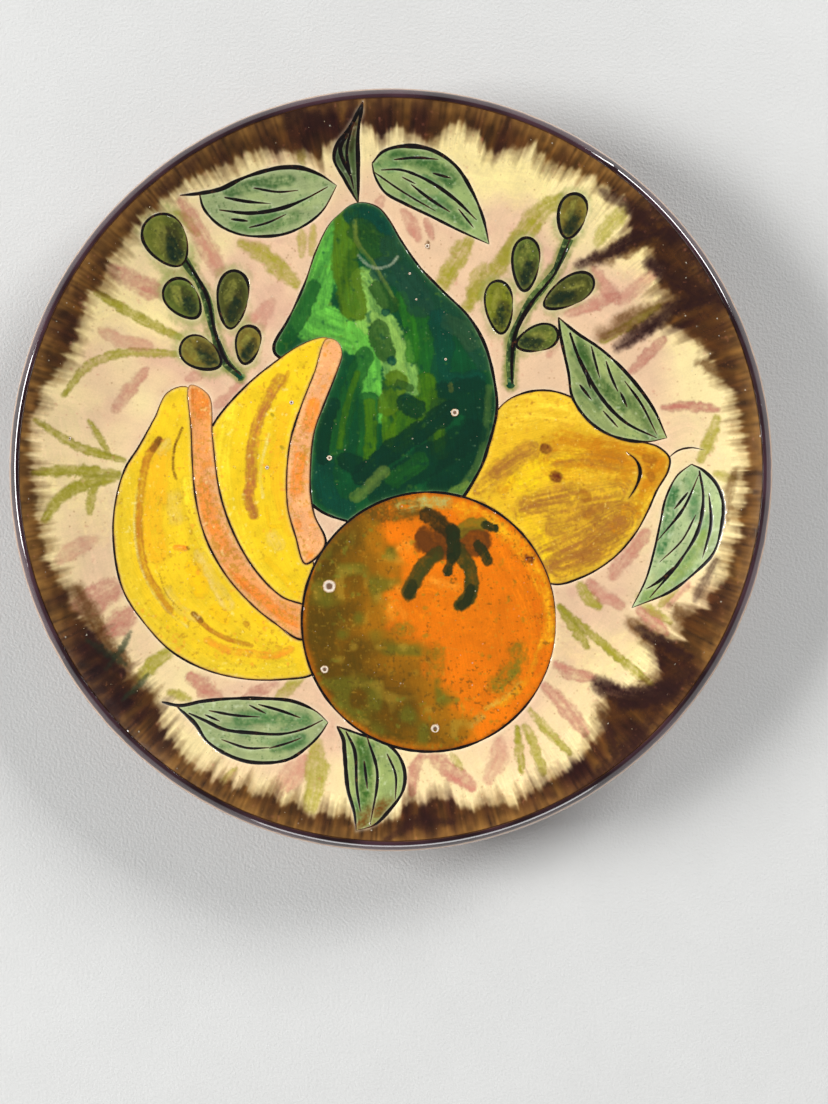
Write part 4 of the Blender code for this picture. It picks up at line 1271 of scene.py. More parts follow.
LEMON = [
    30, 2, 29, -13, 42, -24, 52, -36, 64, -45, 75.5, -42.5, 88, -35, 97, -25, 102, -16, 105.5, -8, 110, 0,
    110.5, 5, 106, 9.5, 98, 12, 90, 17, 80, 24, 70, 30, 61, 32, 51.5, 30.5, 44, 26,
]
LEMON_COLOURS = {
    "clear": (250, 208, 58), "ochre": (196, 122, 14), "drab": (158, 102, 40), "bright": (246, 208, 16),
    "umber": (150, 84, 22), "golden": (236, 182, 44), "spot": (96, 38, 16),
}
LEMON_STROKES = [
    ("clear", 10.4, 0.8, 47.5, 24, 56, 24.5, 68.5, 23.5),
    ("ochre", 9.2, 0.85, 85, 8, 96.5, 6.5, 105, 3.5),
    ("ochre", 5.2, 0.8, 107, 2, 102, -6),
    ("ochre", 4.6, 0.6, 62, 11.5, 73.5, 11, 85, 7, 93.5, 2),
    ("drab", 5.2, 0.75, 42, -0.5, 49, 4.5, 55.5, 8),
    ("ochre", 3.5, 0.5, 44, -7.5, 47.5, -3.5),
    ("bright", 7.5, 0.8, 51.5, -5, 59.5, -0.5, 71, 3),
    ("drab", 5.2, 0.8, 51.5, -16, 59.5, -12.5, 69.5, -10.5),
    ("drab", 5.2, 0.75, 64, -23.5, 73.5, -21.5, 82.5, -16),
    ("umber", 3.5, 0.5, 78.5, -17, 82.5, -14, 85, -11.5),
    ("drab", 9.2, 0.8, 67.5, -37.5, 76, -33.5, 83.5, -27, 88.5, -21.5),
    ("umber", 5.2, 0.35, 77, -32, 83.5, -26.5),
    ("ochre", 5.2, 0.8, 90.5, -22, 95.5, -14.5, 98.5, -11.5),
    ("golden", 8.6, 0.5, 79, -5, 88, -6.5),
    ("ochre", 5.8, 0.5, 92.5, -3, 94.5, -4.5),
    ("bright", 5.2, 0.7, 52, -19, 59.5, -27.5, 63, -36),
    ("clear", 2.1, 0.7, 100, -18.5, 94, -29.5, 85.5, -37.5),
]
LEMON_SPOTS = [
    ("spot", 4.3, 0.95, 61, 9, 62, 8.5),
    ("spot", 4.7, 0.95, 65, -2, 66, -2.5),
    ("umber", 4.8, 0.7, 76, -9.5, 77.5, -10.5),
    ("umber", 4.0, 0.5, 101.5, 5, 103.5, 4.5),
    ("umber", 3.5, 0.5, 103, -2, 103.5, -3),
    ("spot", 2.2, 0.8, 36, -13, 37, -13.5),
]
# Broad half dry strokes over them, laid level.
LEMON_BROAD = [
    ("ochre", 17.0, 0.75, 66, 4, 80, 3, 92, 1, 104, 1),
    ("drab", 13.0, 0.75, 56, -15, 72, -12, 90, -9),
    ("drab", 20.0, 0.85, 62, -35, 77, -28, 92, -20),
    ("ochre", 9.0, 0.8, 108, 3, 104, -6, 99, -14),
    ("drab", 9.0, 0.7, 35, -7, 44, 0, 56, 8),
    ("ochre", 12.0, 0.7, 68, 13, 84, 9, 100, 5),
    ("drab", 7.0, 0.6, 66, 4, 78, 5, 90, 3),
]
lemon_outline = looped(LEMON, LINE_STEP)
incise(ring_line(lemon_outline), 0.72)
incise(rounded([(93.5, 7.5), (97.5, 4), (99, -0.5), (97.5, -6), (94.5, -11)], LINE_STEP), 1.3,
       ends=(0.1, 0.1), fades=(0.4, 0.4))
incise(rounded([(110.5, 5.5), (114, 8), (119, 9), (124, 8)], LINE_STEP), 0.7,
       ends=(0.4, 0.1), fades=(0.3, 0.5))
x, y, faces, away = lay_patch(lemon_outline)
coat = paint_coat(x, y, (240, 190, 36), away)
mottle(coat, 0.06, 9.0, 601)
brush_all(coat, LEMON_STROKES, LEMON_COLOURS, 660, spread=1.5, soft=0.8, bristle=0.75,
          ragged=0.3, grainy=0.45)
brush_all(coat, LEMON_BROAD, LEMON_COLOURS, 680, soft=1.0, bristle=0.9, ragged=0.35, grainy=0.6)
brush_all(coat, LEMON_SPOTS, LEMON_COLOURS, 690, soft=0.5)
speckle(coat, (150, 84, 30), 1.5, 0.13, 0.5, 603)
speckle(coat, (214, 150, 40), 3.0, 0.16, 0.4, 607)
speckle(coat, (255, 226, 120), 1.2, 0.08, 0.5, 605)
edge_tint(coat, (252, 222, 90), 1.4, 0.5)
edge_tint(coat, (110, 60, 20), 0.35, 0.6)
finish_patch("lemon_glaze", "lemon_yellow", coat, faces, flow_along(x, y, 14),
             glazed("lemon_under_glaze", 0.20, 0.16, 0.14))
covers["lemon"] = lemon_outline


# ---- Olive sprigs -------------------------------------------------------------------------------
# Two sprigs of five olives. Each olive is one quick oval cut over a thin olive-green dab with a
# darker pool in it, and each stem is one bold cut over dark green.

OLIVE_WASHES = [(84, 96, 34), (70, 72, 26), (116, 100, 36), (114, 118, 26), (98, 104, 36)]


def olive(x, y, half_width, half_length, lean):
    """One olive's sizes, with the dark dab that fills its lower side."""
    turn = math.radians(lean)
    tip = (x - math.sin(turn) * half_length * 0.55, y + math.cos(turn) * half_length * 0.55)
    foot = (x + math.sin(turn) * half_length * 0.6, y - math.cos(turn) * half_length * 0.6)
    across = (0.35 * half_width * math.cos(turn), 0.35 * half_width * math.sin(turn))
    dabs = [((50, 48, 22), half_width * 1.2, 0.85, [(x + across[0], y + across[1]), foot]),
            ((14, 34, 24), half_width * 0.8, 0.85, [(x + across[0] * 0.5, y - 1), foot]),
            ((146, 144, 62), half_width * 0.7, 0.7, [tip, (x - across[0], y - across[1])])]
    return {"centre": (x, y), "half": (half_width, half_length), "lean": lean, "line": 1.05,
            "wash": OLIVE_WASHES[int(abs(x) + y) % 5], "dabs": dabs}


OLIVES = {
    "sprig_left_olive_1": olive(-88.5, 90.5, 8, 10.5, 30),
    "sprig_left_olive_2": olive(-82.5, 68, 6.2, 8.8, 40),
    "sprig_left_olive_3": olive(-63, 68, 6, 11.5, -5),
    "sprig_left_olive_4": olive(-75.5, 46.5, 6, 8.8, 60),
    "sprig_left_olive_5": olive(-57, 50, 4.8, 7.6, -10),
    "sprig_right_olive_1": olive(71.5, 100.5, 5.4, 8.6, -12),
    "sprig_right_olive_2": olive(53.5, 82, 5.3, 10.5, -3),
    "sprig_right_olive_3": olive(43, 65, 5.4, 10.5, 5),
    "sprig_right_olive_4": olive(70.5, 71, 5.4, 11, -60),
    "sprig_right_olive_5": olive(58, 52.5, 5, 8.6, -72),
}
STEMS = {
    "sprig_left_stem": {"line": [(-83, 85), (-74, 70), (-70.5, 55), (-66, 43.5), (-60, 37.5)], "half": 1.9},
    "sprig_right_stem": {"line": [(70.5, 92), (68, 86), (64.5, 78.5), (55, 66.5), (49, 55), (47.5, 44.5),
                                  (47.5, 34.5)], "half": 1.9},
}

olive_glaze = glazed("olive_under_glaze", 0.16, 0.24, 0.16)
for number, (node, olive) in enumerate(OLIVES.items()):
    outline = looped(oval_line(olive["centre"], *olive["half"], olive["lean"], drop=0.24), LINE_STEP)
    incise(ring_line(outline), olive["line"])
    x, y, faces, away = lay_patch(outline, 0.45)
    coat = paint_coat(x, y, olive["wash"], away)
    mottle(coat, 0.20, 4.0, 300 + number)
    for colour, width, strength, path in olive["dabs"]:
        brush(coat, colour, width, strength, path, 330 + 3 * number, soft=0.8, ragged=0.4, grainy=0.5)
    speckle(coat, (170, 172, 90), 0.9, 0.12, 0.5, 350 + number)
    speckle(coat, (40, 48, 24), 1.6, 0.14, 0.5, 360 + number)
    edge_tint(coat, (150, 160, 96), 0.9, 0.4)
    finish_patch(node, "olive_green", coat, faces, flow_along(x, y, olive["lean"] + 90), olive_glaze)
    covers[node] = outline

for number, (node, stem) in enumerate(STEMS.items()):
    centre = rounded(stem["line"], LINE_STEP)
    run = np.gradient(centre, axis=0)
    run /= np.linalg.norm(run, axis=1)[:, None]
    side = np.stack([-run[:, 1], run[:, 0]], axis=1) * stem["half"]
    swell = 0.62 + 0.38 * np.abs(np.cos(np.linspace(0, 2.5 * math.pi, len(centre))))[:, None]
    tip = centre[-1] + run[-1] * np.linspace(0.3, 1.0, 3)[:, None] * stem["half"]
    blunt = np.sqrt(1 - np.linspace(0.3, 0.95, 3) ** 2)[:, None] * side[-1]
    outline = np.vstack([centre - side * swell, tip - blunt,
                         (tip + blunt)[::-1], (centre + side * swell)[::-1]])
    incise(centre + side * 0.3, 1.45, ends=(0.35, 0.3), fades=(0.35, 0.2))
    x, y, faces, away = lay_patch(outline, 0.45)
    coat = paint_coat(x, y, (74, 94, 44), away)
    mottle(coat, 0.3, 3.0, 370 + number)
    for start in (0, len(stem["line"]) // 2):
        brush(coat, (26, 44, 26), 3.0, 0.85, stem["line"][start:start + 3], 380 + number,
              soft=0.8, grainy=0.6)
    foot = stem["line"][-1]
    brush(coat, (8, 58, 38), 3.4, 1.0, [(foot[0], foot[1] + 1), foot], 386 + number, soft=0.3)
    speckle(coat, (150, 165, 96), 1.0, 0.25, 0.7, 375 + number)
    finish_patch(node, "olive_green", coat, faces, flow_along(x, y, 110), olive_glaze)
    covers[node] = outline


# ---- Ground and brown band ----------------------------------------------------------------------
# Cream slip blushed with peach, over which loose lime and mauve strokes fan out between the fruit.
# The brown rim glaze ran inward in the kiln: a band of radial streaks with dark runs, that thins to
# amber beside the lip. One coat of paint crosses both fields, so the run has no seam.

LIP_INNER = 145.3
CREAM = (247, 225, 164)
GROUND_COLOURS = {
    "lime": (150, 142, 40), "mauve": (178, 108, 92), "brown": (82, 48, 16), "peach": (228, 188, 156),
    "butter": (250, 230, 150), "violet": (40, 18, 16), "greenblack": (34, 48, 30),
}
# Where the brown run stops on its way in from the lip: (degrees, radius).
BAND_EDGE = [
    (0, 139), (10, 138), (15, 135), (20, 132), (25, 129), (28, 122), (31, 133), (34, 128), (37, 132),
    (40, 134), (43, 128), (46, 136), (50, 139), (55, 138), (63, 136), (66, 139), (70, 133), (73, 130),
    (76, 137), (80, 137), (84, 130), (88, 133), (92, 131), (96, 136), (100, 131), (103, 126), (105, 131),
    (108, 130), (112, 135), (122, 137), (135, 138), (150, 136), (158, 133), (165, 137), (172, 141),
    (180, 140), (190, 139), (195, 138), (200, 136), (206, 134), (213, 133), (220, 132), (223, 128),
    (226, 132), (230, 136), (240, 139), (250, 137), (265, 137), (270, 136), (273, 132), (276, 130),
    (280, 131), (286, 138), (290, 139), (298, 136), (305, 134), (311, 130), (314, 122), (316, 130),
    (321, 135), (327, 124), (330, 132), (333, 130), (336, 134), (345, 138), (360, 139),
]
# How far the run turns purple-black: (degrees, share).
BAND_DARK = [
    (0, 0.25), (15, 0.3), (27, 0.65), (45, 0.7), (52, 0.3), (66, 0.25), (72, 0.6), (95, 0.6), (100, 0.75),
    (108, 0.6), (114, 0.25), (120, 0.5), (128, 0.2), (150, 0.3), (156, 0.6), (164, 0.3), (190, 0.15),
    (205, 0.45), (214, 0.8), (224, 0.7), (232, 0.3), (255, 0.25), (270, 0.5), (280, 0.6), (288, 0.3),
    (298, 0.6), (305, 0.65), (328, 0.7), (336, 0.4), (350, 0.25), (360, 0.25),
]
# The edge between the two fields lies under the run, a little inside its inner reach.
FIELD_EDGE = [
    (0, 134), (22, 131), (40, 122), (58, 127), (78, 129), (96, 123), (110, 132), (135, 134), (158, 136),
    (180, 137), (200, 134), (216, 124), (235, 126), (262, 130), (285, 129), (305, 124), (322, 122),
    (342, 130),
]
# Loose leaf strokes between the fruit: colour, width, strength and path.
WASHES = [
    ("lime", 2.8, 0.75, -116, 70, -101.5, 61.5, -90.5, 56, -82, 52),
    ("lime", 2.4, 0.7, -129, 29.5, -118.5, 42, -104.5, 46.5, -81, 46),
    ("lime", 2.4, 0.75, -139.5, 19.5, -124, 9.5, -106, 4),
    ("lime", 2.0, 0.7, -119.5, 19.5, -115, 12.5, -111.5, 6),
    ("lime", 3.1, 0.8, -140, -1, -124.5, 0, -108.5, -1.5),
    ("lime", 3.5, 0.8, -136, -20, -130.5, -11, -121.5, -5.5, -108.5, -2.5),
    ("lime", 2.4, 0.7, -119.5, -17, -118.5, -9.5, -116, -5),
    ("lime", 2.4, 0.5, -36, 131.5, -35, 120),
    ("lime", 4.7, 0.65, -59, 90, -50, 85, -38, 74.5),
    ("lime", 2.8, 0.45, -35.5, 95, -35.5, 86),
    ("lime", 2.4, 0.45, -31, 97, -31.5, 86),
    ("lime", 5.1, 0.7, 31, 92, 25.5, 83, 19.5, 72.5),
    ("lime", 3.5, 0.5, 36.5, 81.5, 31, 70.5),
    ("lime", 4.7, 0.75, 51, 93.5, 42, 81, 29, 64),
    ("lime", 5.5, 0.7, 44.5, 83.5, 54.5, 96.5, 61, 103.5, 70.5, 106.5),
    ("lime", 4.3, 0.5, 81.5, 90, 87, 97.5, 93.5, 103.5),
    ("lime", 2.8, 0.7, 84, 51.5, 95, 58, 106, 65),
    ("lime", 3.5, 0.6, 128.5, 20.5, 126, 12.5, 122.5, 4),
    ("lime", 2.8, 0.5, 128, -1.5, 134.5, -3.5),
    ("lime", 3.5, 0.7, 75, -45.5, 79, -51, 82.5, -54),
    ("lime", 2.8, 0.8, 67, -54, 78, -70),
    ("lime", 2.4, 0.75, 67, -54, 93.5, -77, 108, -89),
    ("lime", 2.4, 0.7, 55, -95, 62, -103, 70.5, -111.5),
    ("lime", 2.4, 0.75, 50, -102, 51.5, -119),
    ("lime", 2.8, 0.65, 53, -101, 57, -110, 60, -119.5),
    ("lime", 5.5, 0.6, -30, -108, -29.5, -120.5, -31.5, -132.5),
    ("lime", 3.5, 0.6, -35.5, -82, -40, -86, -44.5, -90),
    ("lime", 3.9, 0.7, -87.5, -71.5, -94, -76.5, -100, -82.5),
    ("lime", 2.8, 0.6, -87.5, -88, -80, -90.5),
    ("lime", 3.1, 0.6, -76.5, 93.5, -83.5, 100.5, -94.5, 94),
    ("mauve", 5.1, 0.5, -82, 105, -74, 90, -66, 76),
    ("mauve", 5.5, 0.55, -110, 79, -98.5, 73.5, -88.5, 70),
    ("mauve", 3.5, 0.5, -97.5, 39.5, -104.5, 31.5, -109.5, 24),
    ("mauve", 3.1, 0.4, -75, 39, -80.5, 36.5),
    ("mauve", 3.5, 0.5, 5, 102.5, 8.5, 97.5, 11, 92.5),
    ("mauve", 2.4, 0.5, 14, 99.5, 16.5, 92.5),
    ("brown", 1.2, 0.6, 14.5, 91, 15, 88.5),
    ("mauve", 3.9, 0.5, 80.5, 79, 84.5, 73.5, 89.5, 67.5),
    ("mauve", 3.9, 0.55, 70.5, 62.5, 80, 66, 89.5, 69.5),
    ("mauve", 3.1, 0.65, 94, 38.5, 102, 46, 108, 52),
    ("mauve", 2.8, 0.7, 108, 25, 117.5, 25.5, 128.5, 24),
    ("mauve", 4.7, 0.55, 101, -25, 94, -33, 88, -42),
    ("mauve", 3.9, 0.5, 79, -44.5, 84.5, -49.5, 91, -53.5),
    ("mauve", 3.5, 0.6, 65.5, -77, 73, -81, 80.5, -82),
    ("mauve", 4.3, 0.6, 61, -85.5, 69, -93.5, 76.5, -103.5),
    ("mauve", 4.7, 0.55, 98.5, -55.5, 104, -60, 108, -64),
    ("mauve", 3.5, 0.6, 12, -113, 9, -120.5, 8.5, -127.5),
    ("mauve", 4.7, 0.6, 16, -113, 24, -119.5, 31.5, -124.5),
    ("mauve", 4.7, 0.6, -79.5, -81.5, -73.5, -86.5, -68, -90.5),
    ("mauve", 3.5, 0.55, -58, -90.5, -52, -87.5, -46.5, -84.5),
    ("mauve", 6.3, 0.6, -103, -55.5, -107.5, -60, -112.5, -64),
    ("mauve", 7.1, 0.6, -107, -45.5, -116, -50.5, -124, -54.5),
    ("mauve", 5.1, 0.4, -47.5, 66.5, -53, 59.5, -57, 51),
    ("mauve", 4.7, 0.35, 25.5, 103.5, 31, 99.5, 37.5, 93.5),
    ("mauve", 3.9, 0.55, -50.5, -92.5, -55.5, -102.5, -60, -111),
    ("mauve", 3.5, 0.5, -39.5, -99, -42, -107, -46.5, -114),
    ("mauve", 5.5, 0.4, -35.5, -114, -39.5, -121, -45, -126.5),
    ("mauve", 4.7, 0.4, 43, -107, 42, -115, 38, -122),
    ("mauve", 3.5, 0.5, 86, -86.5, 93.5, -91.5, 98, -97),
    ("mauve", 4.3, 0.45, 117.5, -35.5, 114.5, -45, 109, -53),
    ("lime", 2.4, 0.55, 117.5, -38, 112, -46.5, 106.5, -53.5),
    ("lime", 2.4, 0.5, 98, -49.5, 102.5, -55, 110.5, -60),
    ("mauve", 3.9, 0.4, 104.5, 78.5, 98, 73, 91, 66.5),
    ("mauve", 3.5, 0.4, -4, 107.5, -6, 104.5, -7.5, 102),
    ("mauve", 3.1, 0.35, 66.5, 55, 65, 51, 63, 46),
    ("mauve", 3.9, 0.35, -114, 55, -105.5, 51, -96, 49.5),
    ("mauve", 3.5, 0.45, -59, 34.5, -64.5, 29, -69.5, 26),
    ("mauve", 4.7, 0.35, -130, -35.5, -124.5, -31, -117.5, -27.5),
    ("lime", 2.0, 0.5, -61, -117.5, -65.5, -122, -69.5, -126),
    ("lime", 2.0, 0.5, 24, -112.5, 28, -118),
]
# Broad blushes in the slip under them.
BLUSH = [
    ("peach", 35.4, 0.5, -130, 19.5, -118, -35.5, -110.5, -67),
    ("peach", 27.5, 0.55, -55.5, 66.5, -63, 39, -59, 27.5),
    ("peach", 31.4, 0.45, 51, 94, 82.5, 70.5, 106, 55),
    ("peach", 27.5, 0.5, 117.5, 11.5, 98, 0, 121.5, -59),
    ("peach", 31.4, 0.5, 35, -118, 66.5, -90.5, 90, -59),
    ("peach", 23.6, 0.45, -98.5, 74.5, -75, 98, -35.5, 94),
    ("peach", 27.5, 0.4, -63, -122, -39.5, -90.5, 11.5, -122),
    ("peach", 13.4, 0.6, -24, -20, -27, -22),
    ("butter", 23.6, 0.4, -126, 55, -106.5, 66.5, -90.5, 55),
    ("butter", 19.7, 0.45, 31, 133.5, 51, 114, 66.5, 121.5),
    ("butter", 19.7, 0.4, 82.5, 106, 102, 82.5, 117.5, 55),
    ("butter", 15.7, 0.4, -130, -4, -118, -12, -114, -23.5),
    ("butter", 19.7, 0.4, 66.5, -67, 82.5, -75, 98, -67),
    ("butter", 15.7, 0.45, 19.5, 125.5, 31, 117.5, 54.5, 114),
]
# Where the run pooled thick and dark, or reached in between the leaves.
DARK_RUNS = [
    ("brown", 17.3, 0.75, 106.5, 87, 118.5, 71.5, 127, 58),
    ("violet", 13.4, 0.9, 102, 110, 121.5, 86.5, 129.5, 66.5),
    ("violet", 6.3, 0.85, 93.5, 102, 102, 97.5, 110.5, 90),
    ("brown", 8.6, 0.8, 80.5, 83, 95, 89.5, 109, 95),
    ("violet", 5.9, 1.0, 74.5, 81.5, 87, 86.5, 100, 92.5, 113.5, 92.5),
    ("violet", 8.6, 0.95, 102.5, 81.5, 112, 76, 121.5, 70.5),
    ("brown", 10.2, 0.7, 84, 54, 99, 60.5, 113.5, 66),
    ("violet", 6.7, 1.0, 90, 49, 102, 56.5, 113.5, 64, 126.5, 68),
    ("brown", 6.3, 0.8, 117.5, 55, 124, 51.5, 129.5, 48.5),
    ("brown", 4.7, 0.7, 121.5, 42.5, 128, 39, 133.5, 37),
    ("violet", 4.7, 0.6, 82.5, 110, 88.5, 106, 95.5, 103.5),
    ("violet", 7.1, 0.6, -47.5, 142, -35.5, 139, -24, 135),
    ("violet", 5.1, 0.7, -16, 140.5, -17.5, 133.5, -20, 127),
    ("violet", 5.5, 0.5, -76.5, 121.5, -84.5, 114, -90.5, 109),
    ("violet", 7.1, 0.5, -125, 86.5, -129, 74.5, -134.5, 62.5),
    ("brown", 9.4, 0.8, -123.5, -48, -115, -65.5, -104, -82, -94, -93),
    ("violet", 5.1, 0.9, -119, -64, -112.5, -73.5, -105.5, -80.5),
    ("violet", 7.1, 0.65, -118, -90.5, -114, -82.5, -110.5, -75),
    ("violet", 5.5, 0.7, -106.5, -86.5, -109.5, -93, -107, -100),
    ("greenblack", 3.5, 0.7, -119.5, -67, -112.5, -71.5, -105, -76.5),
    ("greenblack", 2.8, 0.7, -103, -64, -107, -71.5, -112, -78),
    ("greenblack", 2.8, 0.7, -96, -81, -101, -86.5, -105.5, -90.5),
    ("violet", 4.7, 0.6, -2, -145, 11.5, -137.5, 23.5, -138.5),
    ("violet", 4.7, 0.5, 11.5, -140, 13, -133),
    ("violet", 9.4, 0.75, 66.5, -137.5, 86, -118, 102, -98.5),
    ("violet", 5.1, 0.7, 88, -111, 86, -102.5, 82.5, -96),
    ("brown", 15.7, 0.7, 85.5, -95.5, 99.5, -91.5, 115.5, -81),
    ("violet", 9.4, 0.95, 81.5, -84.5, 95, -89, 110.5, -86.5),
    ("violet", 9.4, 0.9, 91, -93, 103.5, -89, 117, -79.5),
    ("brown", 8.6, 0.8, 95.5, -60.5, 107.5, -69.5, 120, -75.5),
    ("violet", 5.1, 0.95, 98, -62.5, 107.5, -68, 117.5, -73.5),
    ("brown", 5.5, 0.75, 112, -57.5, 121, -62.5, 127, -64.5),
    ("brown", 3.5, 0.6, 121.5, -59, 115.5, -56, 110.5, -53),
    ("violet", 4.7, 0.6, 128, -35.5, 124, -43.5, 120, -51),
    ("brown", 4.7, 0.6, 135.5, 0, 132.5, -12, 130, -23.5),
]


def band_amount(x, y):
    """How thickly the brown run covers each point, from 0 to 1, and how dark it is there."""
    radius = np.hypot(x, y)
    turn = np.degrees(np.arctan2(y, x)) % 360
    edge = np.interp(turn, [angle for angle, _ in BAND_EDGE], [reach for _, reach in BAND_EDGE])
    around = turn * 2.4
    lick = (1.6 * cloud(around, radius * 0.05, 2.2, 41) + 1.0 * cloud(around, radius * 0.04, 0.8, 42)
            + 1.4 * cloud(around, radius * 0.10, 5.5, 43) + 0.5 * cloud(x, y, 1.2, 44))
    cover = eased(np.clip((radius - edge + lick) / 4.4 + 0.42, 0, 1))
    feather = np.clip((radius - edge + 5.0 + 2.0 * lick) / 6.0, 0, 1) * 0.5
    dark = np.interp(turn, [angle for angle, _ in BAND_DARK], [value for _, value in BAND_DARK])
    return np.maximum(cover, feather), dark, around, radius


def paint_band(coat):
    x, y = coat["x"], coat["y"]
    cover, dark, around, radius = band_amount(x, y)
    streak = (cloud(around, radius * 0.12, 0.9, 45) * 0.5 + cloud(around, radius * 0.08, 2.6, 46) * 0.4
              + 0.45 * cloud(x, y, 2.2, 48))
    brown = np.array([96, 62, 22.0]) * (1 + 0.38 * streak)[:, None]
    deep = np.array([36, 12, 12.0]) * (1 + 0.3 * streak)[:, None]
    share = np.clip(dark * (0.9 + 0.7 * cloud(around, radius * 0.25, 3.5, 47)), 0, 1)
    colour = brown + (deep - brown) * share[:, None]
    amber = np.exp(-(np.maximum(145.4 - radius, 0) / 4.2) ** 2) * (0.62 + 0.5 * streak) * (1 - 0.55 * share)
    colour = colour + (np.array([152, 110, 54.0]) - colour) * np.clip(amber, 0, 1)[:, None]
    blend(coat, colour, cover)
    for number, (colour, width, strength, *path) in enumerate(DARK_RUNS):
        brush(coat, GROUND_COLOURS[colour], width, strength, path, 60 + number, soft=1.0, bristle=0.3,
              ragged=0.35, grainy=0.2, pointed=0.5)


def paint_ground(x, y, away):
    """Buttery cream near the rim, blushed peach towards the middle, then the loose leaf strokes."""
    coat = paint_coat(x, y, CREAM, away)
    radius = np.hypot(x, y)
    blush = np.clip((124 - radius) / 22 + 0.75 * cloud(x, y, 24.0, 95) + 0.35 * cloud(x, y, 9.0, 96), 0, 1)
    blend(coat, GROUND_COLOURS["peach"], 0.8 * blush)
    for number, (colour, width, strength, *path) in enumerate(BLUSH):
        brush(coat, GROUND_COLOURS[colour], width, strength * 0.8, path, 100 + 5 * number, soft=1.0,
              bristle=0.2, ragged=0.3)
    rosy = np.clip(cloud(x, y, 12.0, 97) - 0.25 + 0.5 * cloud(x, y, 4.0, 98), 0, 1)
    blend(coat, (212, 158, 138), 0.5 * rosy * blush)
    mottle(coat, 0.03, 10.0, 101)
    for number, (colour, width, strength, *path) in enumerate(WASHES):
        brush(coat, GROUND_COLOURS[colour], width * 1.6, min(1.0, strength * 1.25), path, 1200 + 5 * number,
              soft=0.45, bristle=0.4, ragged=0.25, grainy=0.42, pointed=0.55)
    for number, stem in enumerate(STEMS.values()):
        brush(coat, (112, 122, 52), 2 * stem["half"] + 3.0, 0.8, stem["line"], 1190 + number, soft=0.6,
              grainy=0.5)
    for number, olive_sizes in enumerate(OLIVES.values()):
        brush(coat, (136, 146, 74), 2 * olive_sizes["half"][0] + 3.2, 0.6,
              [olive_sizes["dabs"][2][3][0], olive_sizes["dabs"][0][3][1]], 1170 + number, soft=0.5)
    paint_band(coat)
    speckle(coat, (150, 96, 60), 0.9, 0.05, 0.5, 103)
    speckle(coat, (196, 120, 100), 2.0, 0.05, 0.4, 105)
    edge_tint(coat, (255, 242, 210), 0.8, 0.45)
    return coat


ground_glaze = glazed("cream_ground_under_glaze", 0.06, 0.07, 0.10, pinholes=0.6)
band_glaze = glazed("brown_run_glaze", 0.30, 0.20, 0.12, roughness=0.12)
band_edge = looped([(reach * math.cos(math.radians(angle)), reach * math.sin(math.radians(angle)))
                    for angle, reach in FIELD_EDGE], 0.8)
gap_outline = np.array([(-34.0, -30.0), (-14.0, -30.0), (-14.0, -14.0), (-34.0, -14.0)])
x, y, faces, away = lay_patch(gap_outline)
finish_patch("cream_ground_gap", "cream_ground", paint_ground(x, y, away), faces, flow_along(x, y, 80),
             ground_glaze)
covers["gap"] = gap_outline
x, y, faces, away = lay_patch(band_edge, 0.62)
finish_patch("cream_ground", "cream_ground", paint_ground(x, y, away), faces,
             flow_round(x, y, (0.0, 0.0))[::-1], ground_glaze)
covers["field"] = band_edge
rim_ring = looped(oval_line((0.0, 0.0), LIP_INNER, LIP_INNER, count=72), 0.8)
x, y, faces, away = lay_patch(rim_ring, 0.5)
finish_patch("brown_band", "brown_glaze", paint_ground(x, y, away), faces,
             flow_round(x, y, (0.0, 0.0))[::-1], band_glaze)


# ---- Incised lines ------------------------------------------------------------------------------
# Every outline and vein is a groove cut through the slip. Dark manganese settled in it, so the
# groove fires near black where it is deep and brown where it is shallow.

GROOVE_DEPTH = 0.17


def make_line_glaze():
    material, tree, shader = start_material("manganese_line")
    paint = add(tree, "ShaderNodeAttribute", attribute_name="paint")
    place = place_on(tree)
    broken = ranged(tree, noise(tree, place, 700.0, 2.0), 0.62, 0.72, 0.0, 0.5)
    colour = mix_colour(tree, "MIX", broken, paint.outputs["Color"], shade((104, 62, 36)))
    tree.links.new(colour, shader.inputs["Base Color"])
    give_skin(tree, shader, 0.6, 0.5, 0.3, 0.15)
    return material


def groove_faces():
    """Two rows of small faces along each cut, meeting in its bottom."""
    corners = []
    rows = []
    count = 0
    for cut in cuts:
        amount = len(cut["line"])
        corners += [cut["left"], cut["line"], cut["right"]]
        for index in range(amount - 1):
            for side in (0, 1):
                start = count + side * amount + index
                rows.append([start, start + 1, start + amount + 1, start + amount])
        count += 3 * amount
    places, triangles, sources = fill(np.vstack(corners), rows, np.empty((0, 2)))
    wanted = [face for face, source in zip(triangles, sources) if source]
    return compact(places, np.array(wanted))


x, y, faces = groove_faces()
away = nearest_cut(x, y, cuts)
brown_share = 0.5 + 0.5 * cloud(x, y, 5.0, 91)
halves = np.concatenate([cut["half"] for cut in cuts])
tree = search_tree(np.vstack([cut["line"] for cut in cuts]))
width = np.array([halves[tree.find((px, py, 0.0))[1]] for px, py in zip(x, y)])
inward = np.clip(-away / width, 0, 1)
heights = surface_height(x, y, away) - GROOVE_DEPTH * np.clip(width / 0.6, 0.3, 1.2) * inward ** 0.8
coat = paint_coat(x, y, (14, 8, 8), away)
thin = np.clip((0.46 - width) / 0.18, 0, 1) * (0.45 + 0.55 * brown_share)
blend(coat, (96, 52, 24), 0.85 * thin)
line_piece = glaze_mesh("incised_lines", coat, faces, heights, flow_along(x, y, 0), make_line_glaze())
belongs(line_piece, "lip_glaze")


# ---- Kiln pits and dust --------------------------------------------------------------------------
# A few bubbles burst in the glaze and left small pale craters with a brown eye, and grains of dust
# fell on the glaze. The craters are turned one by one and the grains are scattered.

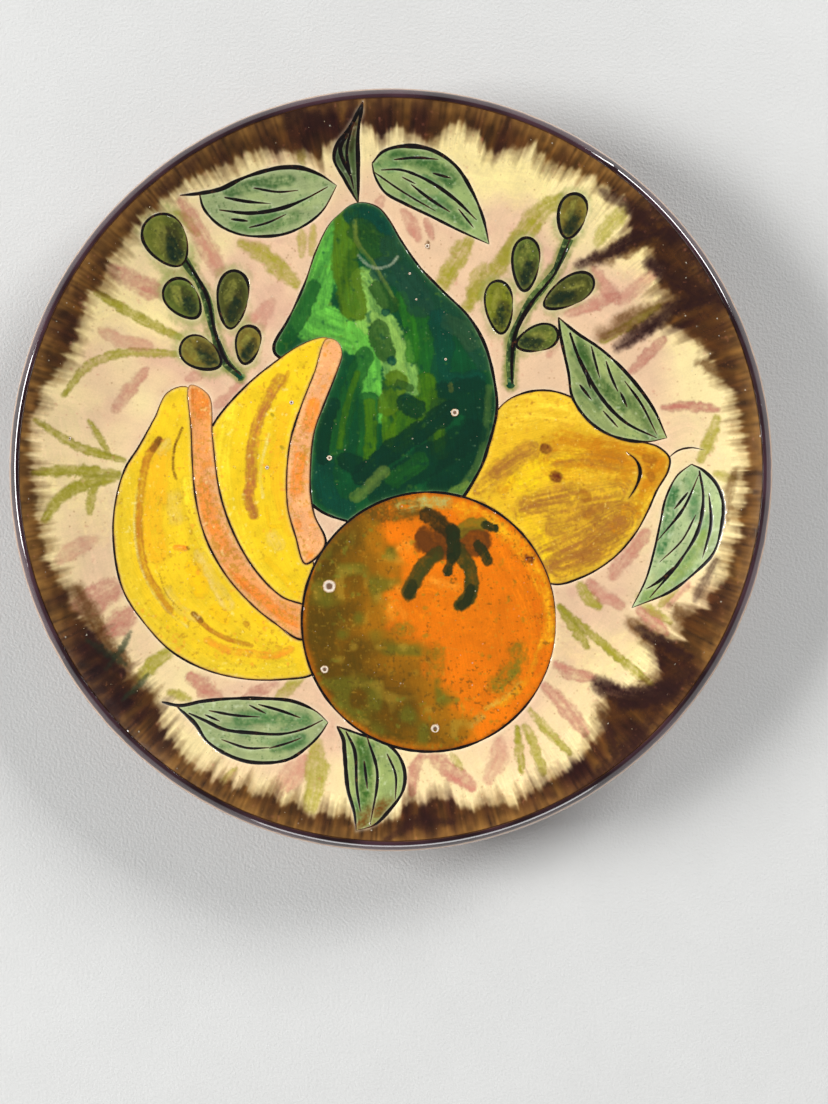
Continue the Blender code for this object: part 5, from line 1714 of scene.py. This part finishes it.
PITS = [(25.3, 23.1, 1.5), (-24.5, 5.1, 1.0), (21.7, 44.3, 0.5), (7.4, 78.4, 0.45), (10.0, 68.1, 0.4),
        (-39.6, 27.1, 0.8), (-49.3, 1.3, 0.7), (-24.6, -45.9, 2.6), (-26.4, -79.0, 1.5),
        (17.5, -102.5, 1.7), (14.4, 89.3, 0.9), (-127.0, 12.5, 0.7)]


def make_pit_clay():
    material, tree, shader = start_material("burst_pit_clay")
    paint = add(tree, "ShaderNodeAttribute", attribute_name="paint")
    place = place_on(tree)
    fine = noise(tree, place, 1600.0, 2.0)
    colour = mix_colour(tree, "MULTIPLY", ranged(tree, fine, 0.3, 0.7, 0.5, 0.0),
                        paint.outputs["Color"], shade((190, 150, 110)))
    tree.links.new(colour, shader.inputs["Base Color"])
    give_skin(tree, shader, 1.0, 1.0, 0.3, 0.6)
    return material


PIT_SIDES = 20


def pit_points():
    """Every crater as rings of points, from its eye out to its raised edge."""
    rings = [(0.0, 0.02, (120, 92, 70)), (0.4, 0.02, (132, 104, 82)), (0.58, 0.06, (232, 218, 200)),
             (0.75, 0.14, (250, 244, 232)), (0.92, 0.14, (222, 192, 146)), (1.12, -0.12, (110, 66, 28))]
    points, colours, faces = [], [], []
    for number, (x, y, radius) in enumerate(PITS):
        chance = np.random.default_rng(4000 + number)
        uneven = 1 + 0.05 * chance.uniform(-1, 1, PIT_SIDES)
        level = float(face_height(math.hypot(x, y))) + GLAZE_TOP
        first = len(points)
        for share, rise, colour in rings:
            for turn in range(PIT_SIDES):
                angle = math.tau * turn / PIT_SIDES
                reach = radius * share * uneven[turn]
                points.append((x + reach * math.cos(angle), y + reach * math.sin(angle),
                               level + rise * min(1.0, radius)))
                colours.append(colour)
        for ring in range(len(rings) - 1):
            for turn in range(PIT_SIDES):
                start = first + ring * PIT_SIDES
                after = (turn + 1) % PIT_SIDES
                outer = start + PIT_SIDES
                faces.append((start + turn, outer + turn, outer + after, start + after))
    return points, colours, faces


points, colours, faces = pit_points()
mesh = bpy.data.meshes.new("burst_pits")
mesh.from_pydata((np.array(points) * MM).tolist(), [], faces)
light = np.concatenate([linear(colours), np.ones((len(points), 1))], axis=1)
mesh.color_attributes.new("paint", "FLOAT_COLOR", "POINT").data.foreach_set(
    "color", light.astype(np.float32).ravel())
clean = bmesh.new()
clean.from_mesh(mesh)
bmesh.ops.remove_doubles(clean, verts=clean.verts, dist=0.000001)
bmesh.ops.recalc_face_normals(clean, faces=clean.faces)
if sum(face.normal.z for face in clean.faces) < 0:
    bmesh.ops.reverse_faces(clean, faces=clean.faces)
clean.to_mesh(mesh)
clean.free()
mesh.shade_smooth()
belongs(link("burst_pits", mesh, make_pit_clay()), "cream_ground")


def make_dust_scatter():
    """Geometry Nodes tree: scatter small grains over a surface, each with its own size and turn."""
    tree, enter, leave = geometry_tree("dust_scatter", "Surface", "Grains",
                                       [("Density", "Float"), ("Grain Radius", "Float"), ("Seed", "Int"),
                                        ("Clay", "Material")])
    scatter = tree.nodes.new("GeometryNodeDistributePointsOnFaces")
    tree.links.new(enter.outputs["Surface"], scatter.inputs["Mesh"])
    tree.links.new(enter.outputs["Density"], scatter.inputs["Density"])
    tree.links.new(enter.outputs["Seed"], scatter.inputs["Seed"])
    grain = tree.nodes.new("GeometryNodeMeshIcoSphere")
    grain.inputs["Subdivisions"].default_value = 1
    tree.links.new(enter.outputs["Grain Radius"], grain.inputs["Radius"])
    size = tree.nodes.new("FunctionNodeRandomValue")
    size.data_type = "FLOAT_VECTOR"
    size.inputs["Min"].default_value = (0.5, 0.5, 0.4)
    size.inputs["Max"].default_value = (1.6, 1.2, 0.8)
    size.inputs["Seed"].default_value = 3
    turn = tree.nodes.new("FunctionNodeRandomValue")
    turn.data_type = "FLOAT_VECTOR"
    turn.inputs["Min"].default_value = (0.0, 0.0, 0.0)
    turn.inputs["Max"].default_value = (0.0, 0.0, math.tau)
    turn.inputs["Seed"].default_value = 5
    place = tree.nodes.new("GeometryNodeInstanceOnPoints")
    tree.links.new(scatter.outputs["Points"], place.inputs["Points"])
    tree.links.new(grain.outputs["Mesh"], place.inputs["Instance"])
    tree.links.new(size.outputs["Value"], place.inputs["Scale"])
    tree.links.new(turn.outputs["Value"], place.inputs["Rotation"])
    real = tree.nodes.new("GeometryNodeRealizeInstances")
    coated = tree.nodes.new("GeometryNodeSetMaterial")
    tree.links.new(place.outputs["Instances"], real.inputs["Geometry"])
    tree.links.new(real.outputs["Geometry"], coated.inputs["Geometry"])
    tree.links.new(enter.outputs["Clay"], coated.inputs["Material"])
    tree.links.new(coated.outputs["Geometry"], leave.inputs["Grains"])
    return tree


def make_dust_clay():
    material, tree, shader = start_material("fallen_kiln_dust")
    place = place_on(tree)
    tone = noise(tree, place, 260.0, 2.0, 0.6)
    colour = mix_colour(tree, "MIX", ranged(tree, tone, 0.4, 0.6, 0.0, 1.0),
                        shade((214, 196, 158)), shade((120, 84, 50)))
    tree.links.new(colour, shader.inputs["Base Color"])
    give_skin(tree, shader, 1.0, 0.0, 0.5, 0.2)
    return material


dust_surface = [(radius - SWEEP_RADIUS, -(float(face_height(radius)) + GLAZE_TOP), 0.0)
                for radius in (4.0, 45.0, 85.0, 105.0, 125.0, 142.0)]
dust_surface = wheel_section("dust_surface", dust_surface, closed=False)
surface = run_tree(dust_surface, THROWING_WHEEL, {"Steps": 96, "Sweep Radius": SWEEP_RADIUS * MM})
grains = run_tree(placed("dust_base", surface), make_dust_scatter(),
                  {"Density": 6500.0, "Grain Radius": 0.00014, "Seed": 9, "Clay": make_dust_clay()})
belongs(placed("kiln_dust", grains), "cream_ground")


# ---- Room: floor, light and camera ---------------------------------------------------------------
# The plate lies on a plain pale floor, lit by soft boxes, with the camera over it. Nothing here is
# part of the plate.

def make_floor():
    material, tree, shader = start_material("pale_floor")
    place = place_on(tree)
    tone = noise(tree, place, 30.0, 4.0, 0.6)
    colour = mix_colour(tree, "MIX", tone, shade((208, 208, 206)), shade((216, 216, 214)))
    tree.links.new(colour, shader.inputs["Base Color"])
    shader.inputs["Roughness"].default_value = 0.8
    bump = add(tree, "ShaderNodeBump")
    bump.inputs["Distance"].default_value = 0.0002
    tree.links.new(noise(tree, place, 900.0, 2.0), bump.inputs["Height"])
    tree.links.new(bump.outputs["Normal"], shader.inputs["Normal"])
    return material


FLOOR = 12
floor_mesh = bpy.data.meshes.new("studio_floor")
floor_mesh.from_pydata([(-FLOOR, -FLOOR, 0), (FLOOR, -FLOOR, 0), (FLOOR, FLOOR, 0), (-FLOOR, FLOOR, 0)],
                       [], [(0, 1, 2, 3)])
floor = link("studio_floor", floor_mesh, make_floor())


def soft_box(name, place, size, power):
    """A large soft light that points at the middle of the plate and isn't seen itself."""
    lamp = bpy.data.lights.new(name, "AREA")
    lamp.shape = "RECTANGLE"
    lamp.size = size[0]
    lamp.size_y = size[1]
    lamp.energy = power
    box = placed(name, lamp)
    box.location = place
    away = Vector(place) - Vector((0, 0, 0.02))
    box.rotation_euler = away.to_track_quat("Z", "Y").to_euler()
    box.visible_camera = False
    return box


soft_box("window_left", (-3.7, 0.3, 1.85), (2.0, 1.3), 215)
soft_box("window_right", (2.7, 2.6, 1.75), (2.0, 1.2), 160)
soft_box("front_card", (0.3, -3.2, 0.6), (3.4, 0.9), 42)


def make_studio_air():
    """Even soft light that is brightest near the horizon and darker overhead, behind the camera."""
    world = bpy.data.worlds.new("studio_air")
    world.use_nodes = True
    tree = world.node_tree
    way = add(tree, "ShaderNodeTexCoord").outputs["Generated"]
    apart = add(tree, "ShaderNodeSeparateXYZ")
    tree.links.new(way, apart.inputs[0])
    strength = ranged(tree, apart.outputs[2], 0.15, 0.6, 0.95, 0.09)
    tree.links.new(strength, tree.nodes["Background"].inputs["Strength"])
    tree.nodes["Background"].inputs["Color"].default_value = (0.95, 0.97, 1.0, 1.0)
    return world


bpy.context.scene.world = make_studio_air()
bpy.context.scene.view_settings.view_transform = "Standard"

CAMERA_PLACE = (0.0091, -0.0323, 0.922)
lens = bpy.data.cameras.new("overhead_camera")
lens.lens = 74.5
lens.sensor_width = 36.0
camera = placed("overhead_camera", lens)
camera.location = CAMERA_PLACE
bpy.context.scene.camera = camera
